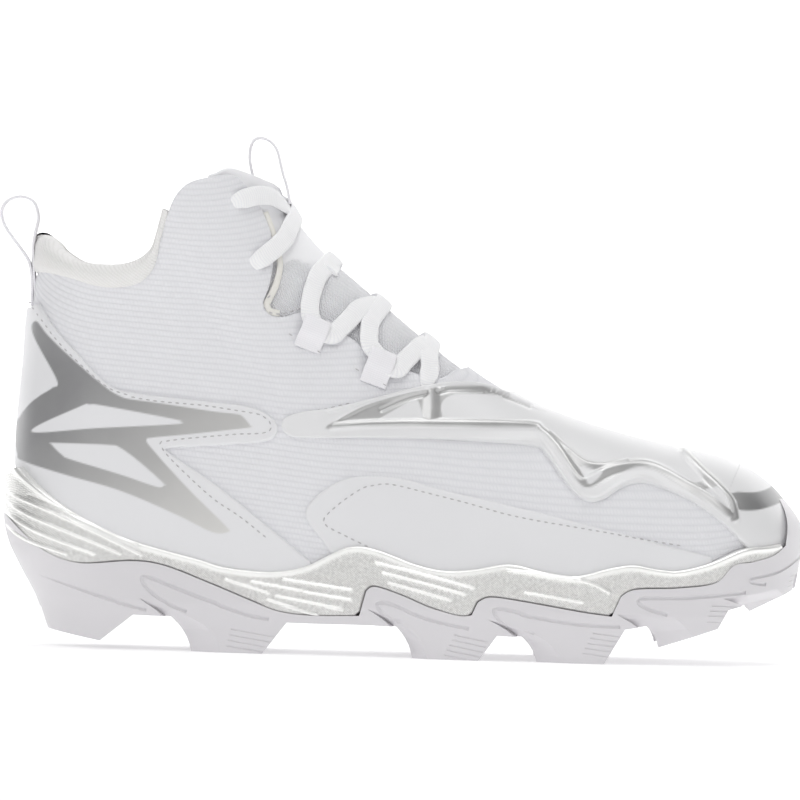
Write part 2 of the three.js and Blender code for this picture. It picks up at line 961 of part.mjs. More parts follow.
// Webbing loop on one side, from its sewn base on the upper to its tip above the tongue
function webbingSolid(loop, side) {
  const height = 2.5 * gap + webbingThickness / 2;
  const stations = [0, 0.33, 0.67, 1].map((t) => {
    const x = xAt(THREE.MathUtils.lerp(loop.along, loop.tipAlong, t));
    const z = zUp(THREE.MathUtils.lerp(loop.up, loop.tipUp, t));
    return { point: onLast(x, z, side, height), across: new THREE.Vector3(1, 0, -0.45).normalize() };
  });
  return strip(stations, webbingWidth, webbingThickness);
}

function pullLoop(points, width) {
  const curve = smooth(points.map(upperPoint), 22);
  const across = new THREE.Vector3(0, 1, 0);
  return strip(
    curve.map((p) => ({ point: new THREE.Vector3(p.x, 0, p.y), across })),
    width,
    strapThickness,
  );
}

// Object
const cleat = new THREE.Group();

function addPiece(name, solid, colour, roughness, metalness = 0) {
  const material = new THREE.MeshStandardMaterial({ color: colour, roughness, metalness });
  const mesh = new THREE.Mesh(geometryOf(solid), material);
  mesh.name = name;
  cleat.add(mesh);
}

addPiece("outsole", treadSolid(), 0xe4e0e4, 0.5);
addPiece("midsole", cupSolid(), 0xb4b2ba, 0.35, 0.6);
addPiece("insole", insoleSolid(), 0xd8d6da, 0.9);
addPiece("upper", upperSolid(), 0xe8e6ea, 0.85);
addPiece("collar", collarSolid(), 0xe9e6e0, 0.95);
addPiece("tongue", tongueSolid(), 0xe6e4e8, 0.9);
addPiece("heel_counter", overlaySolid(counterOutline, counterThickness), 0xf0eff2, 0.45);
addPiece("side_panel_lateral", overlaySolid(panelOutline, panelThickness, -halfSpan, 0), 0xefeef2, 0.5);
addPiece("side_panel_medial", overlaySolid(panelOutline, panelThickness, 0, halfSpan), 0xefeef2, 0.5);
addPiece("toe_cage", overlaySolid(cageOutline, cageThickness), 0xececf0, 0.45);
for (const side of ["lateral", "medial"])
  webbingLoops.forEach((loop, i) =>
    addPiece(`lace_loop_${side}_${i + 1}`, webbingSolid(loop, side), 0xdddce0, 0.85),
  );
addPiece("laces", laceSolid(), 0xf4f3f5, 0.9);
addPiece("heel_pull_loop", pullLoop(heelLoop, strapWidth), 0xeeecef, 0.8);
addPiece("tongue_pull_loop", pullLoop(tongueLoop, strapWidth), 0xeeecef, 0.8);

export default cleat;
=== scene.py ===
import math

import bmesh
import bpy
import numpy as np
from mathutils import Matrix, Vector


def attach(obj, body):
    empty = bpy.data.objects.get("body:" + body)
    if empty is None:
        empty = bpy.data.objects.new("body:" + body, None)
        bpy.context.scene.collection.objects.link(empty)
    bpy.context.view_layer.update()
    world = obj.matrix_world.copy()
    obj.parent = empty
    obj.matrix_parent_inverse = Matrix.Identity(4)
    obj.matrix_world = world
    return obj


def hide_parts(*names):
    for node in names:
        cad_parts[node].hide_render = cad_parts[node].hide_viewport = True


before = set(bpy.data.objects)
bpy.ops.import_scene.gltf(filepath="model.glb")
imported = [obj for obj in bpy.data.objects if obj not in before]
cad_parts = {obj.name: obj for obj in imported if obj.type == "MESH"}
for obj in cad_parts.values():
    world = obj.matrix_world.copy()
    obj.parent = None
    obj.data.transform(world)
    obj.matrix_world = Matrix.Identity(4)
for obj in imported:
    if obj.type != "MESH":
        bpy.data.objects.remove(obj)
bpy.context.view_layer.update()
toMetres = 0.001  # the shoe is worked out in millimetres, Blender's objects are in metres

# Camera, floor and light

view = {
    "millimetresPerPixel": 0.38,
    "pixels": 800,
    "turn": 1.6,  # degrees that the shoe leans towards its toe in the picture
    "elevation": 0.5,
    "target": (0.0006, 0.0, 0.0967),
    "distance": 4.0,
    "sensor": 36.0,
}
studio = {
    "floorColour": (0.93, 0.93, 0.93, 1),
    "backdropY": 4.2,
    "backdropRadius": 1.4,
    "backdropHeight": 5.0,
    "halfWidth": 6.0,
    "paperGlow": 0.32,
    "wallGlow": 1.0,
    "glowStart": 0.25,
    "glowEnd": 1.6,
    "keyPower": 10.1,
    "topPower": 7.5,
    "fillPower": 1.6,
    "sky": 0.3,
}
print("camera and studio")


def makeCamera():
    camera = bpy.data.objects.new("camera", bpy.data.cameras.new("camera"))
    bpy.context.scene.collection.objects.link(camera)
    camera.data.sensor_width = view["sensor"]
    span = view["pixels"] * view["millimetresPerPixel"] * toMetres
    camera.data.lens = view["sensor"] * view["distance"] / span
    lift = math.radians(view["elevation"])
    back = Vector((0, -math.cos(lift), math.sin(lift)))
    camera.location = Vector(view["target"]) + back * view["distance"]
    level = (-back).to_track_quat("-Z", "Y").to_matrix().to_4x4()
    roll = Matrix.Rotation(math.radians(view["turn"]), 4, "Z")
    camera.matrix_world = Matrix.Translation(camera.location) @ level @ roll
    camera.data.clip_end = 60
    bpy.context.scene.camera = camera


def makeBackdrop():
    bm = bmesh.new()
    corner = (studio["backdropY"], studio["backdropRadius"])
    rows = [(-6.0, 0.0), (corner[0] - corner[1], 0.0)]
    for step in range(1, 13):
        turn = math.pi / 2 * step / 12
        rows.append((corner[0] - corner[1] + corner[1] * math.sin(turn), corner[1] * (1 - math.cos(turn))))
    rows.append((corner[0], studio["backdropHeight"]))
    first = [bm.verts.new((side * studio["halfWidth"], rows[0][0], rows[0][1])) for side in (-1, 1)]
    edge = bm.edges.new(first)
    for y, z in rows[1:]:
        made = bmesh.ops.extrude_edge_only(bm, edges=[edge])["geom"]
        for vert in [g for g in made if isinstance(g, bmesh.types.BMVert)]:
            vert.co.y, vert.co.z = y, z
        edge = [g for g in made if isinstance(g, bmesh.types.BMEdge) and g.is_boundary
                and all(abs(v.co.y - y) < 1e-6 and abs(v.co.z - z) < 1e-6 for v in g.verts)][0]
    bmesh.ops.recalc_face_normals(bm, faces=bm.faces)
    mesh = bpy.data.meshes.new("backdrop")
    bm.to_mesh(mesh)
    bm.free()
    mesh.shade_smooth()
    backdrop = bpy.data.objects.new("backdrop", mesh)
    bpy.context.scene.collection.objects.link(backdrop)
    material = bpy.data.materials.new("backdropPaper")
    material.use_nodes = True
    shader = material.node_tree.nodes["Principled BSDF"]
    shader.inputs["Base Color"].default_value = studio["floorColour"]
    shader.inputs["Roughness"].default_value = 0.9
    shader.inputs["Specular IOR Level"].default_value = 0.1
    shader.inputs["Emission Strength"].default_value = 1.0
    nodes, links = material.node_tree.nodes, material.node_tree.links
    split = nodes.new("ShaderNodeSeparateXYZ")
    glow = nodes.new("ShaderNodeMapRange")  # the paper glows more towards its far side
    glow.interpolation_type = "SMOOTHSTEP"
    glow.inputs["From Min"].default_value, glow.inputs["From Max"].default_value = studio["glowStart"], studio["glowEnd"]
    glow.inputs["To Min"].default_value, glow.inputs["To Max"].default_value = studio["paperGlow"], studio["wallGlow"]
    links.new(nodes.new("ShaderNodeTexCoord").outputs["Object"], split.inputs[0])
    links.new(split.outputs["Y"], glow.inputs["Value"])
    links.new(glow.outputs["Result"], shader.inputs["Emission Color"])
    mesh.materials.append(material)


def makeLight(name, power, size, place, aim):
    light = bpy.data.lights.new(name, "AREA")
    light.shape = "RECTANGLE"
    light.size, light.size_y = size
    light.energy = power
    lamp = bpy.data.objects.new(name, light)
    lamp.location = place
    lamp.rotation_euler = (Vector(aim) - Vector(place)).to_track_quat("-Z", "Y").to_euler()
    bpy.context.scene.collection.objects.link(lamp)


makeCamera()
makeBackdrop()
makeLight("key", studio["keyPower"], (1.6, 1.0), (-0.5, -1.3, 1.5), (0, 0, 0.08))
makeLight("top", studio["topPower"], (1.4, 0.7), (0.15, 0.1, 1.5), (0, 0, 0.08))
makeLight("fill", studio["fillPower"], (1.2, 1.2), (1.5, -1.1, 0.6), (0.05, 0, 0.08))
world = bpy.data.worlds.new("studio")
bpy.context.scene.world = world
world.use_nodes = True
world.node_tree.nodes["Background"].inputs["Color"].default_value = (1, 1, 1, 1)
world.node_tree.nodes["Background"].inputs["Strength"].default_value = studio["sky"]
bpy.context.scene.view_settings.view_transform = "Standard"

# The form of the last: the same sizes and tables as the solids have, in millimetres

form = {
    "shoeLength": 302.0,
    "heelPlane": -149.0,
    "soleHeight": 46.0,
    "upperHeight": 140.0,
    "ballWidth": 97.0,
    "featherRound": 12.0,
    "heelRound": 31.0,
    "toeRound": 42.0,
    "studDraft": 0.14,
    "domePower": 1.9,
    "heelPower": 2.3,
    "toePower": 3.0,
    "featherPower": 8.0,
    "gap": 0.3,
    "upperWall": 2.0,
    "rimThickness": 2.3,
    "plateStep": 0.5,
    "deep": 60.0,  # lowers the bottom of the last below the floor, for the sole's side
}
# along, lateral, medial, centre, dome
sections = np.array([
    (-0.1, 0.62, 0.62, 0, 0.3), (0, 0.64, 0.64, 0, 0.3), (0.1, 0.69, 0.68, 0, 0.3), (0.2, 0.71, 0.69, 0, 0.3),
    (0.3, 0.74, 0.7, 0, 0.34), (0.4, 0.8, 0.72, 0, 0.5), (0.5, 0.88, 0.79, 0, 0.6), (0.6, 0.96, 0.9, 0, 0.52),
    (0.68, 1, 0.97, 0.005, 0.44), (0.75, 1, 0.98, 0.012, 0.38), (0.85, 0.95, 0.89, 0.03, 0.29),
    (0.95, 0.84, 0.79, 0.055, 0.2), (1, 0.77, 0.72, 0.07, 0.17), (1.15, 0.7, 0.66, 0.08, 0.16),
])
# up, swell of the leg
legSwell = np.array([
    (-0.5, 1), (0.1, 1), (0.3, 0.95), (0.45, 0.91), (0.6, 0.93), (0.8, 1.01), (1, 1.06), (1.3, 1.08),
])
# along, up
ridge = [
    (1.13, 0.15), (1, 0.2), (0.935, 0.222), (0.875, 0.238), (0.798, 0.268), (0.722, 0.312), (0.661, 0.36),
    (0.6, 0.43), (0.539, 0.523), (0.477, 0.63), (0.415, 0.738), (0.384, 0.803), (0.359, 0.87), (0.343, 0.94),
    (0.33, 1.02), (0.314, 1.14), (0.302, 1.24),
]
# up, along
backLine = np.array([
    (-0.4, 0.09), (-0.28, 0.07), (-0.2, 0.058), (-0.12, 0.04), (-0.06, 0.027), (0, 0.02), (0.09, 0.0185),
    (0.17, 0.018), (0.27, 0.019), (0.36, 0.0215), (0.44, 0.0245), (0.54, 0.0265), (0.63, 0.0305), (0.71, 0.034),
    (0.78, 0.037), (0.85, 0.04), (1, 0.045), (1.2, 0.049),
])
frontLine = np.array([
    (-0.35, 0.955), (-0.19, 0.975), (-0.12, 0.983), (0, 0.991), (0.06, 0.99), (0.12, 0.985), (0.3, 0.972),
    (0.6, 0.965),
])
# along, share of the sole's height
feather = np.array([
    (-0.1, 0.82), (0.027, 0.79), (0.123, 0.729), (0.25, 0.628), (0.376, 0.519), (0.502, 0.46), (0.628, 0.45),
    (0.754, 0.481), (0.854, 0.598), (0.929, 0.753), (1.003, 0.99), (1.1, 1.3),
])
cupTop = [
    (-0.02, 1.54), (-0.003, 1.516), (0.016, 1.453), (0.037, 1.308), (0.079, 1.134), (0.122, 1.01), (0.164, 0.902),
    (0.206, 0.827), (0.249, 0.76), (0.277, 0.708), (0.312, 0.681), (0.348, 0.679), (0.383, 0.727), (0.417, 0.841),
    (0.435, 0.894), (0.452, 0.905), (0.47, 0.883), (0.485, 0.853), (0.521, 0.769), (0.556, 0.726), (0.592, 0.74),
    (0.627, 0.785), (0.648, 0.785), (0.68, 0.74), (0.721, 0.715), (0.76, 0.78), (0.79, 0.812), (0.822, 0.785),
    (0.847, 0.779), (0.884, 0.844), (0.923, 0.966), (0.952, 0.997), (0.971, 1.025), (0.985, 1.06),
]
treadSweeps = [
    [(-0.02, 1.12), (0.002, 1.054), (0.03, 0.9), (0.06, 0.767), (0.102, 0.7), (0.165, 0.733), (0.207, 0.703),
     (0.26, 0.58), (0.313, 0.445), (0.349, 0.36), (0.39, 0.33), (0.452, 0.34)],
    [(0.46, 0.545), (0.471, 0.582), (0.504, 0.518), (0.54, 0.425), (0.576, 0.366), (0.592, 0.375)],
    [(0.599, 0.48), (0.616, 0.525), (0.663, 0.489), (0.729, 0.423), (0.766, 0.395)],
    [(0.777, 0.56), (0.795, 0.62), (0.848, 0.639), (0.895, 0.69), (0.917, 0.833), (0.942, 0.866),
     (0.968, 0.92), (0.983, 1.0)],
]
guardEdge = [(0.983, 1.0), (0.985, 1.16), (0.981, 1.29), (0.971, 1.42), (0.966, 1.5)]
underside = np.array([
    (-0.06, 0.36), (0.055, 0.32), (0.15, 0.295), (0.288, 0.275), (0.376, 0.262), (0.472, 0.262), (0.56, 0.24),
    (0.637, 0.206), (0.704, 0.225), (0.784, 0.29), (0.854, 0.38), (0.909, 0.46), (0.954, 0.56), (0.991, 0.72),
    (1.06, 1.0),
])
lateral, medial = 1, 2  # the columns of the half widths


def xAt(along):
    return form["heelPlane"] + np.asarray(along) * form["shoeLength"]


def zUp(up):
    return form["soleHeight"] + np.asarray(up) * form["upperHeight"]


def zSole(share):
    return np.asarray(share) * form["soleHeight"]


def upperPoints(rows):
    return np.array([(xAt(along), zUp(up)) for along, up in rows])


def solePoints(rows):
    return np.array([(xAt(along), zSole(share)) for along, share in rows])


# A column of a table at values of its first column, changing smoothly between the rows
def columnAt(table, value, column):
    keys, values = table[:, 0], table[:, column]
    i = np.clip(np.searchsorted(keys, value) - 1, 0, len(keys) - 2)
    before, after = np.maximum(i - 1, 0), np.minimum(i + 2, len(keys) - 1)
    span, rise = keys[i + 1] - keys[i], values[i + 1] - values[i]
    slopeA = (values[i + 1] - values[before]) / (keys[i + 1] - keys[before])
    slopeB = (values[after] - values[i]) / (keys[after] - keys[i])
    t = np.clip((value - keys[i]) / span, 0, 1)
    return (values[i] + span * slopeA * t * (1 - t) ** 2 + rise * t * t * (3 - 2 * t)
            + span * slopeB * t * t * (t - 1))


# A smooth line through points, as evenly spaced points
def smoothLine(points, spacing=1.0, closed=False):
    points = np.asarray(points, float)
    if closed:
        padded = np.vstack([points[-1], points, points[0], points[1]])
    else:
        padded = np.vstack([points[0], points, points[-1]])
    t = np.linspace(0, 1, 24, endpoint=False)[:, None]
    pieces = []
    for k in range(len(padded) - 3):
        a, b, c, d = padded[k:k + 4]
        pieces.append(b + 0.5 * t * (c - a) + t * t * (a - 2.5 * b + 2 * c - 0.5 * d)
                      + t ** 3 * (1.5 * (b - c) + 0.5 * (d - a)))
    line = np.vstack([*pieces, padded[-2]])
    reach = np.concatenate([[0], np.cumsum(np.linalg.norm(np.diff(line, axis=0), axis=1))])
    count = max(2, int(round(reach[-1] / spacing)) + 1)
    even = np.linspace(0, reach[-1], count)
    return np.column_stack([np.interp(even, reach, line[:, axis]) for axis in range(line.shape[1])])


# Nearest points of a line to points, with the distances and the numbers of the line's segments
def nearestOn(points, line, closed=False):
    starts = line if closed else line[:-1]
    steps = (np.roll(line, -1, axis=0) if closed else line[1:]) - starts
    lengths = np.maximum((steps ** 2).sum(1), 1e-12)
    found, distances, segments = np.empty_like(points), np.empty(len(points)), np.empty(len(points), int)
    for begin in range(0, len(points), 4000):
        part = points[begin:begin + 4000]
        offset = part[:, None, :] - starts
        t = np.clip((offset * steps).sum(2) / lengths, 0, 1)
        away = ((offset - t[..., None] * steps) ** 2).sum(2)
        best = away.argmin(1)
        row = np.arange(len(part))
        found[begin:begin + 4000] = starts[best] + t[row, best, None] * steps[best]
        distances[begin:begin + 4000] = np.sqrt(away[row, best])
        segments[begin:begin + 4000] = best
    return found, distances, segments


def insideOutline(points, outline):
    inside = np.zeros(len(points), bool)
    x, z = points[:, 0], points[:, 1]
    for (ax, az), (bx, bz) in zip(outline, np.roll(outline, -1, axis=0)):
        crosses = (az > z) != (bz > z)
        if crosses.any():
            inside ^= crosses & (x < ax + (z - az) * (bx - ax) / (bz - az if bz != az else 1e-9))
    return inside


ridgeLine = smoothLine(upperPoints(ridge), 3.0)


def ridgeDepth(x, z):
    points = np.column_stack([np.ravel(x), np.ravel(z)])
    near, away, segment = nearestOn(points, ridgeLine)
    step = ridgeLine[segment + 1] - ridgeLine[segment]
    offset = points - ridgeLine[segment]
    side = np.where(step[:, 0] * offset[:, 1] - step[:, 1] * offset[:, 0] >= 0, 1, -1)
    return (away * side).reshape(np.shape(x))


def edgeLoss(depth, reach, power):
    return np.clip(1 - depth / reach, 0, None) ** power


# Square of the half width of the last at side-view points: negative outside its outline
def halfSquared(x, z, side, drop=0.0):
    along = (x - form["heelPlane"]) / form["shoeLength"]
    up = (z - form["soleHeight"]) / form["upperHeight"]
    dome = columnAt(sections, along, 4) * form["upperHeight"]
    behind = x - xAt(columnAt(backLine, up, 1))
    ahead = xAt(columnAt(frontLine, up, 1)) - x
    above = z - zSole(columnAt(feather, along, 1))
    left = (1 - edgeLoss(ridgeDepth(x, z), dome, form["domePower"])
            - edgeLoss(behind, form["heelRound"], form["heelPower"])
            - edgeLoss(ahead, form["toeRound"], form["toePower"])
            - edgeLoss(above + drop, form["featherRound"], form["featherPower"]))
    full = columnAt(sections, along, side) * columnAt(legSwell, up, 1) * form["ballWidth"] / 2
    full = full - form["studDraft"] * np.maximum(0, zSole(0.4) - z)
    return full * full * left


# Places on the last, a height above it along its own normal
def onLast(x, z, side, height=0.0, drop=0.0):
    x, z = np.asarray(x, float), np.asarray(z, float)
    step = 0.05
    squared = halfSquared(x, z, side, drop)
    slopeX = (halfSquared(x + step, z, side, drop) - halfSquared(x - step, z, side, drop)) / (2 * step)
    slopeZ = (halfSquared(x, z + step, side, drop) - halfSquared(x, z - step, side, drop)) / (2 * step)
    out = -1.0 if side == lateral else 1.0
    half = out * np.sqrt(np.maximum(squared, 0))
    along = (x - form["heelPlane"]) / form["shoeLength"]
    centre = columnAt(sections, along, 3) * form["ballWidth"]
    bend = (columnAt(sections, along + 0.001, 3) - columnAt(sections, along - 0.001, 3)) / 0.002
    bend = bend * form["ballWidth"] / form["shoeLength"]
    normal = np.stack([-2 * half * bend - slopeX, 2 * half, -slopeZ], -1)
    normal /= np.linalg.norm(normal, axis=-1, keepdims=True)
    return np.stack([x, centre + half, z], -1) + normal * np.asarray(height)[..., None]


# The last's outline in side view between the directions of two points, seen from a centre inside it
def silhouette(centre, start, end, spacing=1.5, drop=0.0):
    centre = np.array(centre, float)
    angles = [math.atan2(p[1] - centre[1], p[0] - centre[0]) for p in (start, end)]
    if abs(angles[1] - angles[0]) > math.pi:
        angles[1] += math.copysign(2 * math.pi, angles[0] - angles[1])
    turn = np.linspace(angles[0], angles[1], 160)
    near, far = np.zeros_like(turn), np.full_like(turn, 175.0)
    for _ in range(32):
        middle = (near + far) / 2
        inside = halfSquared(centre[0] + middle * np.cos(turn), centre[1] + middle * np.sin(turn), lateral, drop) > 0
        near, far = np.where(inside, middle, near), np.where(inside, far, middle)
    line = centre + np.column_stack([np.cos(turn), np.sin(turn)]) * near[:, None]
    return smoothLine(line[::4], spacing)


# Points read from the picture, as millimetres in the shoe's side view
def fromPhoto(points):
    points = np.asarray(points, float)
    turn = math.radians(view["turn"])
    across = (points[:, 0] - view["pixels"] / 2) * view["millimetresPerPixel"]
    rise = (659 - points[:, 1]) * view["millimetresPerPixel"]
    return np.column_stack([across * math.cos(turn) - rise * math.sin(turn) + 3.3,
                            across * math.sin(turn) + rise * math.cos(turn) - 1.65])


# Mesh makers

# Rows at a skin's edge: distance from the outline, height above the last, and how much relief is left there
edgeSteps = np.array([1.5, 1.05, 0.7, 0.42, 0.2, 0.05, 0.0, 0.0])
seamSteps = 2.6 * ((7 - np.arange(8)) / 8) ** 2
seamSteps[-1] = 0.0


def edgeRows(height, foot=0.0, rounding=0.5):
    rise = height - rounding * np.clip(1 - edgeSteps / 0.8, 0, 1) ** 2
    rise[-1] = foot
    return [(step, high, 0.0 if k == len(edgeSteps) - 1 else 1.0)
            for k, (step, high) in enumerate(zip(edgeSteps, rise))]


def seamRows(height):
    return [(step, height, 1.0) for step in seamSteps]


# A flat skin in side view: a grid cut to an outline of several lines, each with its own rows.
# Each vertex keeps its height above the last, its share of relief and its place in side view.
def flatSkin(lines, pitch, height):
    outline = np.vstack([line[:-1] for line, rows in lines])
    kinds = np.concatenate([np.full(len(line) - 1, k) for k, (line, rows) in enumerate(lines)])
    low, high = outline.min(0), outline.max(0)
    counts = np.ceil((high - low) / pitch).astype(int)
    bm = bmesh.new()
    bmesh.ops.create_grid(bm, x_segments=int(counts[0]), y_segments=int(counts[1]), size=1.0)
    rise = bm.verts.layers.float.new("rise")
    relief = bm.verts.layers.float.new("relief")
    seam = bm.verts.layers.float.new("seam")
    anchor = bm.verts.layers.float_vector.new("anchor")
    inward = bm.verts.layers.float_vector.new("inward")
    flat = np.array([v.co[:2] for v in bm.verts])
    flat = low + (flat - flat.min(0)) / (flat.max(0) - flat.min(0)) * (high - low)
    inside = insideOutline(flat, outline)
    near, away, segment = nearestOn(flat, outline, closed=True)
    firstStep = np.array([rows[0][0] for line, rows in lines])
    keep = inside & (away > firstStep[kinds[segment]] + 0.2 * pitch)
    for vert, (x, z) in zip(bm.verts, flat):
        vert.co = (x, 0, z)
        vert[rise], vert[relief] = height, 1.0
    bm.verts.index_update()
    cut = [face for face in bm.faces if not all(keep[v.index] for v in face.verts)]
    bmesh.ops.delete(bm, geom=cut, context="FACES")
    while True:  # two faces that meet in one corner only
        pinched = [v for v in bm.verts if sum(e.is_boundary for e in v.link_edges) > 2]
        if not pinched:
            break
        bmesh.ops.delete(bm, geom=list({face for v in pinched for face in v.link_faces}), context="FACES")
    border = [e for e in bm.edges if e.is_boundary]
    kindOf = {}
    for number in range(len(lines[0][1])):
        made = bmesh.ops.extrude_edge_only(bm, edges=border)["geom"]
        verts = [g for g in made if isinstance(g, bmesh.types.BMVert)]
        border = [g for g in made if isinstance(g, bmesh.types.BMEdge) and g.is_boundary]
        if number == 0:
            places = np.array([(v.co.x, v.co.z) for v in verts])
            near, away, segment = nearestOn(places, outline, closed=True)
            towards = (places - near) / away[:, None]
            for vert, spot, way, kind in zip(verts, near, towards, kinds[segment]):
                vert[anchor] = (spot[0], 0, spot[1])
                vert[inward] = (way[0], kind, way[1])
        for vert in verts:
            way = vert[inward]
            step, high, left = lines[int(round(way.y))][1][number]
            vert.co = (vert[anchor].x + way.x * step, 0, vert[anchor].z + way.z * step)
            vert[rise], vert[relief] = high, left
            vert[seam] = float(number == len(lines[0][1]) - 1 and left == 1.0)
    return bm


# The skin on one or both sides of the last, with relief added to its heights, welded where the sides meet
def dressSkin(name, flat, sides=(lateral, medial), reliefAt=None, drop=0.0, paints=None, weld=0.02):
    source = bpy.data.meshes.new(name + "Flat")
    flat.to_mesh(source)
    count = len(source.vertices)
    places = np.empty(count * 3)
    source.vertices.foreach_get("co", places)
    places = places.reshape(-1, 3)
    x, z = places[:, 0], places[:, 2]
    rise, left = np.empty(count), np.empty(count)
    source.attributes["rise"].data.foreach_get("value", rise)
    source.attributes["relief"].data.foreach_get("value", left)
    onSeam = np.empty(count)
    source.attributes["seam"].data.foreach_get("value", onSeam)
    centre = columnAt(sections, (x - form["heelPlane"]) / form["shoeLength"], 3) * form["ballWidth"]
    height = rise + (0 if reliefAt is None else left * reliefAt(np.column_stack([x, z])))
    bm = bmesh.new()
    for side in sides:
        half = source.copy()
        spots = onLast(x, z, side, height, drop)
        spots[:, 1] = np.where(onSeam > 0.5, centre, spots[:, 1])  # both halves meet at the centre plane
        half.vertices.foreach_set("co", spots.ravel())
        for paint, values in (paints or {}).items():
            layer = half.attributes.new(paint, "FLOAT", "POINT")
            layer.data.foreach_set("value", np.asarray(values(np.column_stack([x, z]))).astype(np.float32))
        old = set(bm.faces)
        bm.from_mesh(half)
        if side == medial:
            bmesh.ops.reverse_faces(bm, faces=[face for face in bm.faces if face not in old])
        bpy.data.meshes.remove(half)
    bpy.data.meshes.remove(source)
    flat.free()
    bmesh.ops.remove_doubles(bm, verts=bm.verts, dist=weld)
    for layer in ("anchor", "inward"):
        bm.verts.layers.float_vector.remove(bm.verts.layers.float_vector[layer])
    for layer in ("rise", "relief", "seam"):
        bm.verts.layers.float.remove(bm.verts.layers.float[layer])
    return bm


# A sheet of rows of points, closed round when the rows are rings, with its ends filled
def sheetOf(rows, ring=False, capped=True, marks=None):
    rows = np.asarray(rows, float)
    count, around = rows.shape[:2]
    bm = bmesh.new()
    columns = around if ring else around - 1
    bmesh.ops.create_grid(bm, x_segments=columns, y_segments=count - 1, size=1.0)
    flat = np.array([v.co[:2] for v in bm.verts])
    i = np.rint((flat[:, 0] + 1) / 2 * columns).astype(int)
    j = np.rint((flat[:, 1] + 1) / 2 * (count - 1)).astype(int)
    for vert, place in zip(bm.verts, rows[j, i % around]):
        vert.co = place
    for name, values in (marks or {}).items():
        layer = bm.verts.layers.float.new(name)
        for vert, value in zip(bm.verts, values[j, i % around]):
            vert[layer] = value
    if ring:
        bmesh.ops.remove_doubles(bm, verts=bm.verts, dist=1e-4)
        if capped:
            bmesh.ops.holes_fill(bm, edges=[e for e in bm.edges if e.is_boundary], sides=0)
            bmesh.ops.recalc_face_normals(bm, faces=bm.faces)
    return bm


# A flat strip with rounded edges along a path, lying across the way that each normal points
def stripAlong(path, normals, width, thickness, around=14, power=2.6):
    path, normals = np.asarray(path), np.asarray(normals)
    width = np.broadcast_to(width, len(path))[:, None, None]
    thickness = np.broadcast_to(thickness, len(path))[:, None, None]
    ways = np.gradient(path, axis=0)
    ways /= np.linalg.norm(ways, axis=1, keepdims=True)
    across = np.cross(ways, normals)
    across /= np.linalg.norm(across, axis=1, keepdims=True)
    up = np.cross(across, ways)
    turn = np.linspace(0, 2 * math.pi, around, endpoint=False)
    flatten = [np.sign(f(turn)) * np.abs(f(turn)) ** (2 / power) for f in (np.cos, np.sin)]
    rings = (path[:, None, :] + across[:, None, :] * flatten[0][None, :, None] * width / 2
             + up[:, None, :] * flatten[1][None, :, None] * thickness / 2)
    reach = np.concatenate([[0], np.cumsum(np.linalg.norm(np.diff(path, axis=0), axis=1))])
    marks = {"along": np.repeat(reach[:, None], around, 1), "across": np.repeat(flatten[0][None, :], len(path), 0)}
    return sheetOf(rings, ring=True, marks=marks)


# A straight solid across the shoe with a side-view outline
def sidePrism(outline, start=-90.0, end=90.0):
    bm = bmesh.new()
    verts = [bm.verts.new((x, start, z)) for x, z in outline]
    face = bm.faces.new(verts)
    made = bmesh.ops.extrude_face_region(bm, geom=[face])["geom"]
    bmesh.ops.translate(bm, vec=(0, end - start, 0), verts=[g for g in made if isinstance(g, bmesh.types.BMVert)])
    bmesh.ops.triangulate(bm, faces=[f for f in bm.faces if len(f.verts) > 4])
    bmesh.ops.recalc_face_normals(bm, faces=bm.faces)
    return bm


def joinInto(target, *others):
    for other in others:
        mesh = bpy.data.meshes.new("joined")
        other.to_mesh(mesh)
        other.free()
        target.from_mesh(mesh)
        bpy.data.meshes.remove(mesh)
    return target


def looseObject(name, bm):
    mesh = bpy.data.meshes.new(name)
    bm.to_mesh(mesh)
    bm.free()
    made = bpy.data.objects.new(name, mesh)
    bpy.context.scene.collection.objects.link(made)
    return made


def evaluatedMesh(thing):
    graph = bpy.context.evaluated_depsgraph_get()
    mesh = bpy.data.meshes.new_from_object(thing.evaluated_get(graph))
    bpy.data.objects.remove(thing)
    return mesh


# Cuts and joins of closed solids, in order
def carve(bm, *steps):
    thing = looseObject("carved", bm)
    tools = []
    for operation, tool in steps:
        other = looseObject("tool", tool)
        tools.append(other)
        cut = thing.modifiers.new(operation, "BOOLEAN")
        cut.operation, cut.object, cut.solver = operation, other, "MANIFOLD"
    mesh = evaluatedMesh(thing)
    for other in tools:
        bpy.data.objects.remove(other)
    made = bmesh.new()
    made.from_mesh(mesh)
    bpy.data.meshes.remove(mesh)
    return made


def finishPiece(name, bm, materials, nodes, sharp=50, wall=0.0, paint=None):
    bmesh.ops.scale(bm, vec=(toMetres,) * 3, verts=bm.verts)
    piece = looseObject(name, bm)
    if wall:
        solid = piece.modifiers.new("wall", "SOLIDIFY")
        solid.thickness, solid.offset = wall * toMetres, -1.0
    piece.data.shade_smooth()
    piece.data.set_sharp_from_angle(angle=math.radians(sharp))
    for material in materials:
        piece.data.materials.append(material)
    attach(piece, "root")
    if nodes:
        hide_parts(*nodes)
    print("made", name, len(piece.data.polygons), "faces")
    return piece


# Shader maths: a socket with operators, and a material that adds nodes


